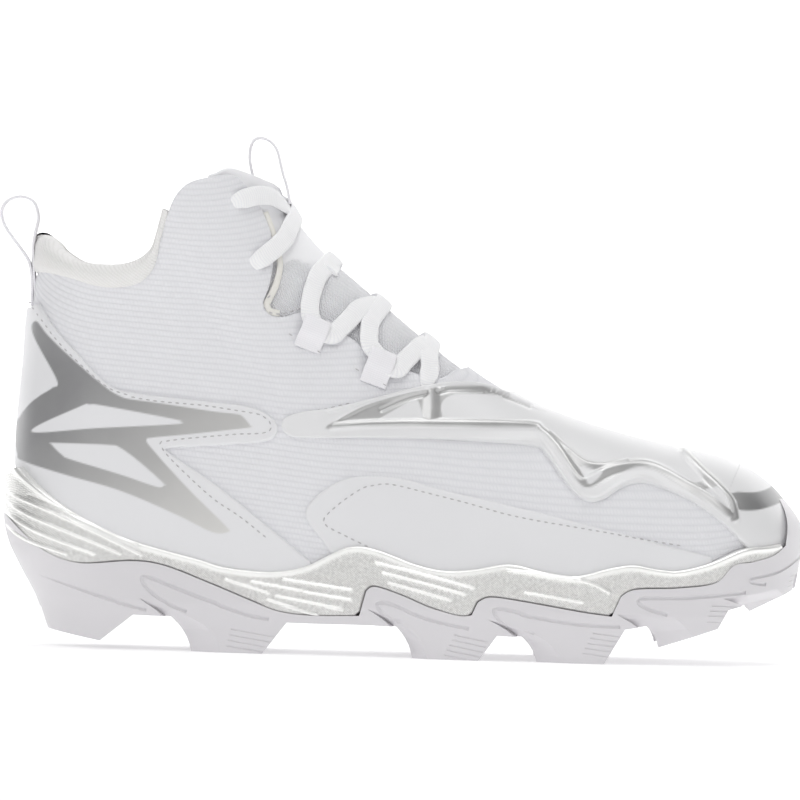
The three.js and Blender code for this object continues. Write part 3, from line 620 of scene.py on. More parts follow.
class Wire:
    def __init__(self, shader, socket):
        self.shader, self.socket = shader, socket

    def math(self, operation, *others):
        return self.shader.node("ShaderNodeMath", {"operation": operation}, [self, *others])

    def __add__(self, other):
        return self.math("ADD", other)

    def __sub__(self, other):
        return self.math("SUBTRACT", other)

    def __mul__(self, other):
        return self.math("MULTIPLY", other)

    def __truediv__(self, other):
        return self.math("DIVIDE", other)

    def __rsub__(self, other):
        return self.shader.node("ShaderNodeMath", {"operation": "SUBTRACT"}, [other, self])

    __radd__, __rmul__ = __add__, __mul__

    def clamped(self):
        return self.math("MINIMUM", 1.0).math("MAXIMUM", 0.0)

    def smooth(self, low, high):
        settings = {"interpolation_type": "SMOOTHSTEP"}
        return self.shader.node("ShaderNodeMapRange", settings, {"Value": self, "From Min": low, "From Max": high})


class Finish:
    def __init__(self, name, colour, **constants):
        self.material = bpy.data.materials.new(name)
        self.material.use_nodes = True
        self.tree = self.material.node_tree
        self.shader = self.tree.nodes["Principled BSDF"]
        self.shader.inputs["Base Color"].default_value = (*colour, 1)
        for socket, value in constants.items():
            self.shader.inputs[socket.replace("_", " ")].default_value = value

    def node(self, kind, settings, values, output=0):
        made = self.tree.nodes.new(kind)
        for name, value in settings.items():
            if name == "stops":
                for element, (place, colour) in zip(self.stopsOf(made, len(value)), value):
                    element.position, element.color = place, colour
            else:
                setattr(made, name, value)
        for key, value in (values.items() if isinstance(values, dict) else enumerate(values)):
            if isinstance(value, Wire):
                self.tree.links.new(value.socket, made.inputs[key])
            else:
                made.inputs[key].default_value = value
        return Wire(self, made.outputs[output])

    def stopsOf(self, ramp, count):
        while len(ramp.color_ramp.elements) < count:
            ramp.color_ramp.elements.new(1.0)
        return ramp.color_ramp.elements

    # The three object coordinates in millimetres
    def places(self):
        place = self.node("ShaderNodeTexCoord", {}, [], "Object")
        scaled = self.node("ShaderNodeVectorMath", {"operation": "SCALE"}, {0: place, "Scale": 1000.0})
        return [self.node("ShaderNodeSeparateXYZ", {}, [scaled], axis) for axis in range(3)]

    def attribute(self, name):
        return self.node("ShaderNodeAttribute", {"attribute_name": name}, [], "Fac")

    def noise(self, scale, detail=2.0, rough=0.5):
        place = self.node("ShaderNodeTexCoord", {}, [], "Object")
        values = {"Vector": place, "Scale": scale, "Detail": detail, "Roughness": rough}
        return self.node("ShaderNodeTexNoise", {}, values, "Fac")

    def mix(self, share, first, second):
        settings = {"data_type": "RGBA"}
        values = {0: share, 6: self.colour(first), 7: self.colour(second)}
        return self.node("ShaderNodeMix", settings, values, 2)

    def colour(self, value):
        return value if isinstance(value, Wire) else (*value, 1)

    def bump(self, height, distance, strength=1.0):
        values = {"Height": height, "Distance": distance * toMetres, "Strength": strength}
        normal = self.node("ShaderNodeBump", {}, values)
        self.link("Normal", normal)

    def link(self, socket, wire):
        self.tree.links.new(wire.socket, self.shader.inputs[socket])


def bumpOf(wire):  # 0 at whole numbers and 1 halfway between them
    part = wire.math("FRACT")
    return part * (1 - part) * 4


def linear(value):  # a grey or colour of the picture, 0 to 255, as light
    value = np.asarray(value, float) / 255
    return tuple(float(v) for v in np.atleast_1d(np.where(value < 0.04045, value / 12.92, ((value + 0.055) / 1.055) ** 2.4)))


fabric = {
    "light": (240, 240, 243),
    # dark: painted shade for the hollows of the emboss
    "dark": (229, 229, 233),
    "rowPitch": 2.15,
    "cellPitch": 1.35,
    "tilt": 0.06,
    "depth": 0.2,
}


# Embossed mesh: tilted rows of small cells, every other row shifted by half a cell
def meshFabric(name, light, dark, rowPitch, cellPitch, depth, tilt=0.0):
    made = Finish(name, linear(light), Roughness=0.85, Sheen_Weight=0.2, Sheen_Roughness=0.4)
    x, y, z = made.places()
    around = y.math("ABSOLUTE")
    row = (z + x * tilt + around * 0.5) / rowPitch
    cell = (x + y * 0.55) / cellPitch + row.math("FLOOR") * 0.5
    weave = bumpOf(row).math("POWER", 0.7) * (0.55 + bumpOf(cell) * 0.45)
    cloud = made.noise(45.0)
    # Painted shade: the colour darkens where the rows and cells of the emboss sink, with a random cloud of tone
    made.link("Base Color", made.mix(weave * 0.8 + cloud * 0.2, linear(dark), linear(light)))
    made.bump(weave + made.noise(1800.0) * 0.25, depth)
    return made.material


# Synthetic skin with a faint grain and uneven gloss
def smoothFilm(name, colour, roughness=0.42, coat=0.12, grain=0.03):
    made = Finish(name, linear(colour), Roughness=roughness, Coat_Weight=coat, Coat_Roughness=0.3)
    made.link("Roughness", made.noise(60.0) * 0.14 + (roughness - 0.07))
    made.bump(made.noise(1400.0, 3.0), grain, 0.6)
    return made


# Film with a printed silver figure, with painted shade that takes it from dark at the heel to light at its lower end
def printedFilm(name, white, dark, light, start, reach):
    made = smoothFilm(name, white)
    x, y, z = made.places()
    silver = made.attribute("silver")
    # Painted shade: the silver darkens towards the back and the top of the heel
    shadeFade = ((x - z * 0.8 - start) / reach).clamped()
    tone = made.mix(shadeFade * 0.9 + made.noise(90.0) * 0.1, linear(dark), linear(light))
    made.link("Base Color", made.mix(silver, linear(white), tone))
    made.link("Metallic", silver * 0.45)
    return made.material


# Moulded film whose raised lines are silver, with painted shade at their feet and in its hollows and painted
# highlights on their backs; the silver is also darker towards the toe
def mouldedFilm(name, white, dark, light):
    made = smoothFilm(name, white, 0.36, 0.2)
    silver, rise = made.attribute("silver"), made.attribute("rise")
    x, y, z = made.places()
    toe = x.smooth(118.0, 140.0)
    # Painted shade and highlight: the silver is lighter where the relief rises and darker where it sinks
    back = (rise * 0.5 + (0.42 + made.noise(120.0) * 0.2)).clamped() * (1 - toe * 0.7)
    made.link("Base Color", made.mix(silver, linear(white), made.mix(back, linear(dark), linear(light))))
    made.link("Metallic", silver * 0.6)
    return made.material


# Silver foil with a fine knurl, smooth and darker at the very back of the heel; its tone is painted reflection, with
# painted highlights along the ribs' crests and the rim's lip
def knurledSilver(name, dark, light):
    made = Finish(name, linear(light), Roughness=0.3, Metallic=0.7, Coat_Weight=0.2)
    x, y, z = made.places()
    knurl, rib = made.attribute("knurl"), made.attribute("rib")
    first = bumpOf((x + z * 0.9 + y * 0.4) / 0.85)
    second = bumpOf((x * 0.8 - z + y * 0.5) / 0.8)
    dots = first * second
    speck = made.noise(900.0, 3.0, 0.7)
    # Painted reflection: the knurl's dots and specks give glints and dark spots, and the rib paint is a painted
    # highlight on the crests
    tone = (dots * 0.35 + speck * 1.1 - 0.15 + rib) * knurl + (1 - knurl) * 0.1
    made.link("Base Color", made.mix(tone.clamped(), linear(dark), linear(light)))
    made.link("Roughness", 0.24 + speck * 0.2)
    made.bump((dots * 0.5 + speck) * knurl * (1 - rib * 0.8), 0.16)
    return made.material


# Woven strip: chevrons that follow its own length
def wovenStrip(name, light, dark, pitch, slant, depth):
    made = Finish(name, linear(light), Roughness=0.8, Sheen_Weight=0.3, Sheen_Roughness=0.5)
    along, across = made.attribute("along"), made.attribute("across")
    chevron = bumpOf(along / pitch + across.math("ABSOLUTE") * slant)
    thread = bumpOf(across * 5.5)
    weave = chevron * 0.7 + thread * 0.3
    # Painted shade: the colour darkens in the hollows between the chevrons and threads
    made.link("Base Color", made.mix(weave, linear(dark), linear(light)))
    made.bump(weave, depth)
    return made.material


# Knit that gives way to a smooth panel
def panelKnit(name, light, dark):
    made = Finish(name, linear(light), Roughness=0.82, Sheen_Weight=0.25, Sheen_Roughness=0.4)
    x, y, z = made.places()
    knit = 1 - made.attribute("panel")
    loops = bumpOf((x * 0.6 + z) / 1.25) * bumpOf((x - z * 0.6 + y) / 0.95)
    # Painted shade: the knit's colour darkens between its loops; the smooth panel keeps the light colour
    made.link("Base Color", made.mix((1 - knit) + knit * loops, linear(dark), linear(light)))
    made.bump(loops * knit + made.noise(1600.0) * 0.2, 0.3)
    return made.material


fabricWhite = meshFabric("meshFabric", fabric["light"], fabric["dark"], fabric["rowPitch"], fabric["cellPitch"],
                         fabric["depth"], fabric["tilt"])
filmWhite = smoothFilm("overlayFilm", (236, 236, 238)).material
treadWhite = smoothFilm("treadRubber", (225, 223, 226), 0.42, 0.12).material
# cupSilver: its dark and light ends are painted reflection on the foil
cupSilver = knurledSilver("cupSilver", (186, 185, 183), (255, 255, 253))
# collarKnit and insoleKnit: their darker colour is painted shade in the hollows of the knit's relief
collarKnit = meshFabric("collarKnit", (249, 248, 247), (239, 238, 236), 1.3, 0.9, 0.18, 0.7)
# tongueKnit: its darker colour is painted shade between the knit's loops
tongueKnit = panelKnit("tongueKnit", (252, 252, 254), (241, 241, 245))
insoleKnit = meshFabric("insoleKnit", (236, 236, 236), (218, 218, 218), 1.2, 0.9, 0.15)
# laceWeave and webbingWeave: their darker colour is painted shade in the weave's hollows
laceWeave = wovenStrip("laceWeave", (255, 255, 255), (243, 243, 247), 1.0, 0.6, 0.1)
webbingWeave = wovenStrip("webbingWeave", (249, 248, 251), (240, 239, 243), 0.8, 0.0, 0.06)
threadGrey = smoothFilm("threadGrey", (196, 194, 196), 0.7, 0.0).material
liningCream = smoothFilm("liningCream", (240, 238, 232), 0.7, 0.0).material
# counterFilm: its dark and light silver are the ends of a painted shade
counterFilm = printedFilm("counterFilm", (236, 236, 238), (150, 150, 152), (240, 239, 236), -200.0, 120.0)
# cageFilm: its dark and light silver are painted shade and painted highlight
cageFilm = mouldedFilm("cageFilm", (236, 236, 237), (112, 112, 114), (250, 250, 249))
print("finishes")

# Sole

gap = form["gap"]
cupLine = smoothLine(solePoints(cupTop), 1.0)
treadLine = np.vstack([smoothLine(solePoints(sweep), 1.0) for sweep in treadSweeps])
guardLine = smoothLine(solePoints(guardEdge), 1.0)
# Both lines are read where the outer face is seen, further back than the last's own place
for line, lift in ((cupLine, 6.4), (treadLine, 1.2)):
    line[:, 1] += lift * np.clip((xAt(0.15) - line[:, 0]) / 38.0, 0, 1.15) ** 2
soleOut = gap + form["rimThickness"]


# The sole stands out further at the back of the heel and at the toe, in millimetres
swell = {"heel": 2.4, "heelStart": -124.0, "heelReach": 16.0, "toe": 1.9, "toeStart": 112.0, "toeReach": 30.0}


def endSwell(x):
    back = np.clip((swell["heelStart"] - x) / swell["heelReach"], 0, 1)
    front = np.clip((x - swell["toeStart"]) / swell["toeReach"], 0, 1)
    return swell["heel"] * back * back * (3 - 2 * back) + swell["toe"] * front * front * (3 - 2 * front)


# The sole's block: level rings round the last, grown outwards
def soleBlock(grow, low=-3.0, high=76.0, pitch=0.75, swollen=False):
    levels = np.linspace(low, high, int((high - low) / pitch))
    count = 230
    crowded = (1 - np.cos(np.linspace(0, math.pi, count))) / 2
    rings = []
    for z in levels:
        up = (z - form["soleHeight"]) / form["upperHeight"]
        ends = [float(xAt(columnAt(line, np.array(up), 1))) for line in (backLine, frontLine)]
        centre = np.array([sum(ends) / 2, z])
        outer = []
        for direction in (-1, 1):
            near, far = 0.0, 200.0
            for _ in range(40):
                middle = (near + far) / 2
                x = np.array([centre[0] + direction * middle])
                if halfSquared(x, np.array([z]), lateral, form["deep"])[0] > 0:
                    near = middle
                else:
                    far = middle
            outer.append(centre[0] + direction * near)
        x = outer[0] + (outer[1] - outer[0]) * crowded
        level = np.full_like(x, z)
        out = grow + endSwell(x) if swollen else grow
        left = onLast(x, level, lateral, out, form["deep"])
        right = onLast(x, level, medial, out, form["deep"])
        left[:, 2] = right[:, 2] = z
        rings.append(np.vstack([left, right[-2:0:-1]]))
    return sheetOf(rings, ring=True)


studs = {
    "heel": (-0.06, 0.051, 0.158, 0.129, 0.069, 0.17, 0.1),
    "heelFront": (0.188, 0.243, 0, 0.332, 0, 0.362, 0.4),
    "ball": (0.472, 0.519, 0, 0.602, 0, 0.624, 0.4),
    "forefoot": (0.624, 0.674, 0, 0.758, 0, 0.783, 0.4),
    "toeBack": (0.786, 0.826, 0.145, 0.899, 0.31, 0.912, 0.4),
    "toe": (0.911, 0.94, 0.453, 0.999, 0.64, 1.06, 0.4),
}
studRoot, studDepth, studSlot = 0.12, 15.0, 13.0


def studOutline(rear, heelEnd, heelRise, toeEnd, toeRise, fore, hollow):
    def rootAt(along):
        return float(zSole(columnAt(underside, np.array(along), 1) + studRoot))

    start = np.array([xAt(rear), rootAt(rear)])
    end = np.array([xAt(heelEnd), zSole(heelRise)])
    bend = np.array([start[0] + (end[0] - start[0]) * (0.5 + hollow), start[1] + (end[1] - start[1]) * (0.5 - hollow / 4)])
    t = np.linspace(0, 1, 9)[:, None]
    curve = start * (1 - t) ** 2 + 2 * bend * t * (1 - t) + end * t * t
    return np.vstack([curve, [(xAt(toeEnd), zSole(toeRise)), (xAt(fore), rootAt(fore) - zSole(studRoot)),
                              (xAt(fore), rootAt(fore))]])


# Grooves on the sides of the tread, read from the picture: a teardrop above each stud, from the end of its
# upper line round the tip to the end of its hook, and fine ribs on the studs' front halves
treadMarks = {
    "teardrops": [
        [(149, 606), (116, 597), (83, 584), (50, 571), (34, 563.5), (31, 565), (33, 573), (40, 581)],
        [(271, 615), (250, 611), (200, 594), (160, 578), (148, 574), (144.5, 577), (150, 586), (164, 597), (189, 608)],
        [(469, 624), (430, 615), (395, 602), (383, 599.5), (378.5, 601.5), (382, 607), (391, 615), (401, 617)],
        [(617, 622), (580, 620), (535, 613), (505, 606), (496, 605.5), (494, 609), (507, 622), (533, 629)],
        [(736, 589), (705, 593), (675, 595), (645, 595), (636, 596), (635, 600), (645, 606), (663, 612)],
        [(796, 547), (783, 558), (767, 568), (750, 573), (741, 575), (740, 578), (744, 580), (754, 581)],
    ],
    "radius": 0.75,
    # first line of each set, step to the next one and their number
    "ribSets": [
        ([(233, 625), (278, 633)], (-1.5, 5.5), 4), ([(455, 630), (488, 637)], (-2.5, 5.0), 5),
        ([(590, 628), (625, 633)], (-2.5, 5.0), 5), ([(705, 602), (732, 603)], (-1.5, 5.0), 4),
        ([(777, 573), (786, 571)], (-1.0, 5.0), 3),
    ],
    "ribRadius": 0.36,
    # boundary of the hollowed rear face of each stud
    "rearFaces": {
        "heel": [(35, 584), (48, 599), (54, 614), (54, 626)],
        "heelFront": [(180, 607), (208, 622), (219, 637.5), (222, 648)],
        "ball": [(401, 617), (416, 630), (424.5, 644), (429.5, 657)],
        "forefoot": [(528, 627), (542, 634), (556, 647), (567, 658.5)],
        "toeBack": [(670, 612), (682.5, 624), (688.6, 636)],
        "toe": [(764, 584), (771, 592), (776, 598)],
    },
    "rearDepth": 6.0,
}


# A thin round bar that follows a line of the picture on the sole's side
def sideBar(line, side, radius, height):
    path = smoothLine(fromPhoto(line), 0.8)
    out = height + endSwell(path[:, 0])
    places = onLast(path[:, 0], path[:, 1], side, out, form["deep"])
    normals = onLast(path[:, 0], path[:, 1], side, out + 1.0, form["deep"]) - places
    return stripAlong(places, normals, 2 * radius, 2 * radius, 8, 2)


# A wedge that cuts a stud's rear face back, from a line on its side to its rear edge
def rearWedge(name, side, height):
    edge = studOutline(*studs[name])[:9]
    line = smoothLine(fromPhoto(treadMarks["rearFaces"][name]), 0.5)
    share = np.linspace(0, 1, 14)
    front = np.column_stack([np.interp(share, np.linspace(0, 1, len(line)), line[:, axis]) for axis in (0, 1)])
    rear = np.column_stack([np.interp(share, np.linspace(0, 1, 9), edge[:, axis]) for axis in (0, 1)])
    if name == "heel":
        rear = front - (12.0, 0)
    for part in (front, rear):  # a little past the foot of the stud
        part[-1] += (part[-1] - part[-2]) / np.linalg.norm(part[-1] - part[-2]) * 2.0
    rear = rear + (rear - front) * 0.25
    depth = treadMarks["rearDepth"] * np.clip(share * 1.6, 0.08, 1) * (0.35 if name == "heel" else 1.0)
    out = [height + endSwell(part[:, 0]) for part in (front, rear)]
    corners = [onLast(front[:, 0], front[:, 1], side, out[0] + 0.02, form["deep"]),
               onLast(rear[:, 0], rear[:, 1], side, out[1] - depth * 1.25, form["deep"]),
               onLast(rear[:, 0], rear[:, 1], side, out[1] + 3.0, form["deep"]),
               onLast(front[:, 0], front[:, 1], side, out[0] + 3.0, form["deep"])]
    bm = sheetOf(np.stack(corners, 1), ring=True)
    bmesh.ops.recalc_face_normals(bm, faces=bm.faces)
    return bm


def makeTread():
    ahead, behind = float(xAt(1.08)), float(xAt(-0.06))
    floorLine = [(behind, -23.0), (ahead, -23.0)]
    treadBelow = np.vstack([floorLine, [(ahead, 69.0)], guardLine[::-1], (treadLine + (0, -gap / 2))[::-1]])
    belly = smoothLine(solePoints(underside), 3.0)
    plateZone = np.vstack([belly, [(ahead, 92.0), (behind, 92.0)]])
    tread = soleBlock(soleOut + form["plateStep"], swollen=True)
    inner = soleBlock(-studDepth, -6.0, 80.0, 4.0)
    slot = sidePrism([(behind, -20), (ahead, -20), (ahead, 92), (behind, 92)], -studSlot / 2, studSlot / 2)
    edge = carve(tread.copy(), ("INTERSECT", sidePrism(treadBelow)), ("DIFFERENCE", inner), ("DIFFERENCE", slot))
    plate = carve(tread, ("INTERSECT", sidePrism(treadBelow)), ("INTERSECT", sidePrism(plateZone)))
    for outline in studs.values():
        stud = carve(edge.copy(), ("INTERSECT", sidePrism(studOutline(*outline))))
        plate = carve(plate, ("UNION", stud))
    edge.free()
    hollow = soleBlock(0.0, 20.0, 90.0, 2.0)
    bed = smoothLine(solePoints(feather), 3.0)
    bedZone = sidePrism(np.vstack([bed, [(ahead, 95.0), (behind, 95.0)]]))
    hollow = carve(hollow, ("INTERSECT", bedZone))
    plate = carve(plate, ("DIFFERENCE", hollow))
    side = soleOut + form["plateStep"]
    grooves = bmesh.new()
    for way in (lateral, medial):
        for line in treadMarks["teardrops"]:
            grooves = joinInto(grooves, sideBar(line, way, treadMarks["radius"], side))
        for line, step, count in treadMarks["ribSets"]:
            for number in range(count):
                moved = [(px + step[0] * number, py + step[1] * number) for px, py in line]
                grooves = joinInto(grooves, sideBar(moved, way, treadMarks["ribRadius"], side))
    plate = carve(plate, ("DIFFERENCE", grooves))
    for name in treadMarks["rearFaces"]:
        for way in (lateral, medial):
            plate = carve(plate, ("DIFFERENCE", rearWedge(name, way, side)))
    bmesh.ops.bisect_plane(plate, geom=[*plate.verts, *plate.edges, *plate.faces], plane_co=(0, 0, 0),
                           plane_no=(0, 0, -1), clear_outer=True)
    bmesh.ops.holes_fill(plate, edges=[e for e in plate.edges if e.is_boundary], sides=0)
    return finishPiece("outsole_tread", plate, [treadWhite], ["outsole"], sharp=35)


# Raised lines of the cup, read from the picture, and the seam under its rim at the heel
cup = {
    "ribs": [[(18, 490), (66, 514), (144, 553)], [(16, 498), (50, 519), (123, 552)],
             [(16.6, 509), (50, 531), (98, 552)], [(19, 522), (41.5, 538), (72, 551)],
             [(228, 577), (271, 590.5)], [(254, 579), (303.5, 588)], [(285, 576.5), (353, 587)],
             [(278, 593), (344, 606)], [(270, 597), (319, 611.5)], [(306, 589), (353, 597)],
             [(377, 560), (474, 585)], [(384, 570), (465, 591)], [(390, 580), (451, 597)],
             [(507, 568), (580, 578), (606, 589)], [(524, 589), (580, 599)]],
    "ribHalf": 0.9,
    "ribHeight": 0.75,
    "rimSeam": [(40, 494), (70, 509), (104, 526), (141, 543)],
    "lipHalf": 1.9,
    "lipHeight": 0.35,
    "smoothHeel": [(-10, 440), (22, 440), (19, 470), (17.5, 495), (18, 530), (14, 560), (-10, 560)],
}


# Height of raised or sunk lines in side view: line, half width and height; the strongest one counts
def lineRelief(lines, points):
    total = np.zeros(len(points))
    for line, halfWidth, height in lines:
        away = nearestOn(points, smoothLine(fromPhoto(line), 1.0))[1]
        rise = height * np.cos(np.clip(away / halfWidth, 0, 1) * math.pi / 2) ** 1.5
        total = np.where(np.abs(rise) > np.abs(total), rise, total)
    return total


# 1 inside the outlines, 0 outside, with a soft edge
def areaMask(points, outlines, soft=0.5):
    mask = np.zeros(len(points))
    for outline in outlines:
        line = smoothLine(fromPhoto(outline), 0.8, closed=True)
        away = nearestOn(points, line)[1] * np.where(insideOutline(points, line), 1, -1)
        mask = np.maximum(mask, np.clip(away / soft + 0.5, 0, 1))
    return mask


# Painted highlight: 1 along the crests of the raised lines and up to 0.8 along the cup's top edge, 0 between them
def ribHighlightMask(points):
    crests = lineRelief([(line, cup["ribHalf"] * 0.75, 1.0) for line in cup["ribs"]], points)
    lip = np.clip(1.6 - nearestOn(points, cupLine)[1] / cup["lipHalf"], 0, 1)
    return np.maximum(crests, lip * 0.8)


def cupRelief(points):
    ribs = [(line, cup["ribHalf"], cup["ribHeight"]) for line in cup["ribs"]]
    total = lineRelief([*ribs, (cup["rimSeam"], 0.7, -0.5)], points)
    lip = np.clip(1 - nearestOn(points, cupLine)[1] / cup["lipHalf"], 0, 1)
    return total + cup["lipHeight"] * lip ** 0.5 + endSwell(points[:, 0])


def makeCup():
    heel = float(xAt(0.018))
    back = silhouette((-60, 45), (heel, float(np.interp(heel, *cupLine.T))),
                      (heel, float(np.interp(heel, *treadLine.T))), drop=form["deep"])
    top = cupLine[(cupLine[:, 0] > back[0][0] + 0.6)]
    low = treadLine[(treadLine[:, 0] > back[-1][0] + 0.6)]
    rows = edgeRows(soleOut, gap, 0.8)
    lines = [(np.vstack([back[0], top, low[-1]]), rows), (np.vstack([low[::-1], back[-1]]), rows),
             (back[::-1], seamRows(soleOut))]
    # The rib paint is a painted highlight on the ribs' crests and the rim's lip
    bm = dressSkin("cup", flatSkin(lines, 0.48, soleOut), reliefAt=cupRelief, drop=form["deep"],
                   paints={"rib": ribHighlightMask, "knurl": lambda points: 1 - areaMask(points, [cup["smoothHeel"]], 3.0)})
    return finishPiece("midsole_cup", bm, [cupSilver], ["midsole"])


makeTread()
makeCup()

# Upper

collarSeam = [(0.052, 0.7), (0.08, 0.69), (0.108, 0.672), (0.133, 0.667), (0.155, 0.672), (0.171, 0.69),
              (0.184, 0.725), (0.192, 0.785), (0.202, 0.866)]
eyestay = [(0.211, 0.905), (0.226, 0.934), (0.25, 0.95), (0.281, 0.958), (0.298, 0.926), (0.315, 0.873),
           (0.328, 0.81), (0.333, 0.745), (0.329, 0.667), (0.322, 0.615), (0.33, 0.585), (0.349, 0.58),
           (0.371, 0.594), (0.395, 0.578), (0.424, 0.54), (0.458, 0.49), (0.494, 0.455), (0.53, 0.428),
           (0.552, 0.432)]
heelInside, footInside, legInside = (-100.0, 80.0), (60.0, 58.0), (-72.0, 100.0)
throatEnd = upperPoints([(0.572, 0.47)])[0]
eyelets = {"places": [(235.5, 203), (254.5, 264)], "radius": 1.9}
# Soft folds at the ankle and over the ball: a line in the picture, half width and depth
folds = [
    ([(176, 262), (196, 300), (214, 330)], 7.0, 0.7), ([(205, 300), (222, 345), (250, 380)], 8.0, 0.6),
    ([(390, 385), (420, 410), (450, 424)], 6.0, 0.4),
]


def sunkCup(start, end, sink):
    line = cupLine[(cupLine[:, 0] >= xAt(start)) & (cupLine[:, 0] <= xAt(end))]
    return line - (0, sink)


def creases(points):
    total = np.zeros(len(points))
    for line, halfWidth, depth in folds:
        total -= depth * np.exp(-(nearestOn(points, smoothLine(fromPhoto(line), 2.0))[1] / halfWidth) ** 2)
    return total


def makeUpper():
    bottom = sunkCup(0.045, 0.955, 5.0)
    back = silhouette(heelInside, bottom[0] - (30, 0), (float(xAt(0.033)), float(zUp(0.702))))
    front = silhouette(footInside, throatEnd, (bottom[-1][0] + 12, bottom[-1][1] + 2))
    top = smoothLine(np.vstack([back[-1], upperPoints(collarSeam + eyestay), front[0]]), 1.0)
    rows = edgeRows(0.0, -0.9, 0.35)
    lines = [(back, seamRows(0.0)), (top, rows), (front, seamRows(0.0)),
             (np.vstack([front[-1], bottom[::-1], back[0]]), rows)]
    bm = dressSkin("upper", flatSkin(lines, 1.5, 0.0), reliefAt=creases)
    wall = looseObject("upperWall", bm)
    solid = wall.modifiers.new("wall", "SOLIDIFY")
    solid.thickness, solid.offset = 1.6, -1.0
    shell = bmesh.new()
    mesh = evaluatedMesh(wall)
    shell.from_mesh(mesh)
    bpy.data.meshes.remove(mesh)
    circle = np.linspace(0, 2 * math.pi, 20, endpoint=False)
    ring = np.column_stack([np.cos(circle), np.sin(circle)]) * eyelets["radius"]
    cuts = [("DIFFERENCE", sidePrism(fromPhoto([place])[0] + ring, start, start + 80))
            for place in eyelets["places"] for start in (-90.0, 10.0)]
    shell = carve(shell, *cuts)
    return finishPiece("upper_shell", shell, [fabricWhite], ["upper"])


# The padded collar: a section of the pad carried round the heel from one front end to the other.
# Each section point is a share of the way from the seam to the rim, or a drop below the seam, and a height.
collar = {
    "rim": [(0.0405, 0.7915), (0.052, 0.772), (0.064, 0.746), (0.09, 0.716), (0.122, 0.706), (0.151, 0.708),
            (0.172, 0.724), (0.186, 0.752), (0.192, 0.79), (0.2, 0.862)],
    "seam": [(0.0325, 0.681), (0.051, 0.6795), (0.08, 0.667), (0.108, 0.65), (0.133, 0.645), (0.155, 0.651),
             (0.172, 0.669), (0.185, 0.71), (0.191, 0.779), (0.199, 0.855)],
    "pad": [(0, -0.6), (0, 0.5), (0.1, 1.3), (0.3, 1.9), (0.55, 2.0), (0.75, 1.5), (0.9, 0.4), (0.98, -1.2),
            (1.0, -3.2), (0.97, -5.2), (0.88, -6.8), (0.7, -7.7), (0.4, -8.0), (0, -8.0)],
    "lining": [(7, -7.8), (14, -7.3), (20, -6.2), (24, -4.4), (23, -2.9), (15, -2.4), (6, -2.4)],
}


def makeCollar():
    steps = np.linspace(0, 1, 90) ** 1.7
    rim = smoothLine(upperPoints(collar["rim"]), 0.5)
    seam = smoothLine(upperPoints(collar["seam"]), 0.5)
    outer = silhouette(heelInside, (-160, 95), (-160, 178), 0.5)

    def alongLine(line):
        reach = np.linspace(0, 1, len(line))
        return np.column_stack([np.interp(steps, reach, line[:, axis]) for axis in (0, 1)])

    def edgeX(z):
        order = outer[:, 1].argsort()
        return np.interp(z, outer[order, 1], outer[order, 0])

    rim, seam = alongLine(rim), alongLine(seam)
    rimIn, seamIn = rim[:, 0] - edgeX(rim[:, 1]), seam[:, 0] - edgeX(seam[:, 1])
    rimIn, seamIn = rimIn - rimIn[0], seamIn - seamIn[0]
    profile = np.array([(v, h, 0) for v, h in collar["pad"]] + [(0, h, d) for d, h in collar["lining"]])
    profile = smoothLine(profile, 0.9, closed=True)[:-1]
    rings = {}
    for side in (lateral, medial):
        rows = []
        for k in range(len(steps)):
            share, high, drop = profile.T
            share = np.clip(share, 0, 1)
            z = seam[k, 1] + share * (rim[k, 1] - seam[k, 1]) - np.clip(drop, 0, None)
            x = edgeX(z) + seamIn[k] + share * (rimIn[k] - seamIn[k])
            thin = np.clip((1 - steps[k]) / 0.25, 0.35, 1)  # the pad thins out at its front ends
            rows.append(onLast(x, z, side, high * thin))
        rings[side] = rows
    bm = sheetOf(rings[lateral][::-1] + rings[medial][1:], ring=True)
    piece = finishPiece("collar_pad", bm, [collarKnit], ["collar"])
    return piece


# Tongue: a band under the eyestay with a smooth panel at its top
tongue = {
    "edge": [(0.61, 0.372), (0.575, 0.34), (0.494, 0.372), (0.43, 0.44), (0.367, 0.496), (0.318, 0.51),
             (0.294, 0.568), (0.285, 0.649), (0.291, 0.725), (0.277, 0.824), (0.254, 0.905), (0.245, 0.945),
             (0.262, 0.965), (0.285, 0.98)],
    "panelLow": [(262, 262), (285, 262), (300, 257.6), (318, 262.6), (345, 262)],
    "height": -2.3,
    "thickness": 4.2,
}


def makeTongue():
    crest = silhouette(legInside, upperPoints([(0.62, 0.41)])[0], upperPoints([(0.34, 0.975)])[0])
    edge = smoothLine(np.vstack([crest[-1], upperPoints(tongue["edge"][::-1]), crest[0]]), 1.0)
    rows = edgeRows(tongue["height"], tongue["height"] - 1.2, 0.8)
    lines = [(crest, seamRows(tongue["height"])), (edge, rows)]
    seam = smoothLine(fromPhoto(tongue["panelLow"]), 1.0)

    def panel(points):
        line = np.interp(points[:, 0], seam[:, 0], seam[:, 1])
        return np.clip((points[:, 1] - line) / 0.5 + 0.5, 0, 1)

    def groove(points):
        return -0.5 * np.exp(-(nearestOn(points, seam)[1] / 0.8) ** 2)

    bm = dressSkin("tongue", flatSkin(lines, 1.1, tongue["height"]), reliefAt=groove, paints={"panel": panel})
    return finishPiece("tongue_body", bm, [tongueKnit], ["tongue"], wall=tongue["thickness"])


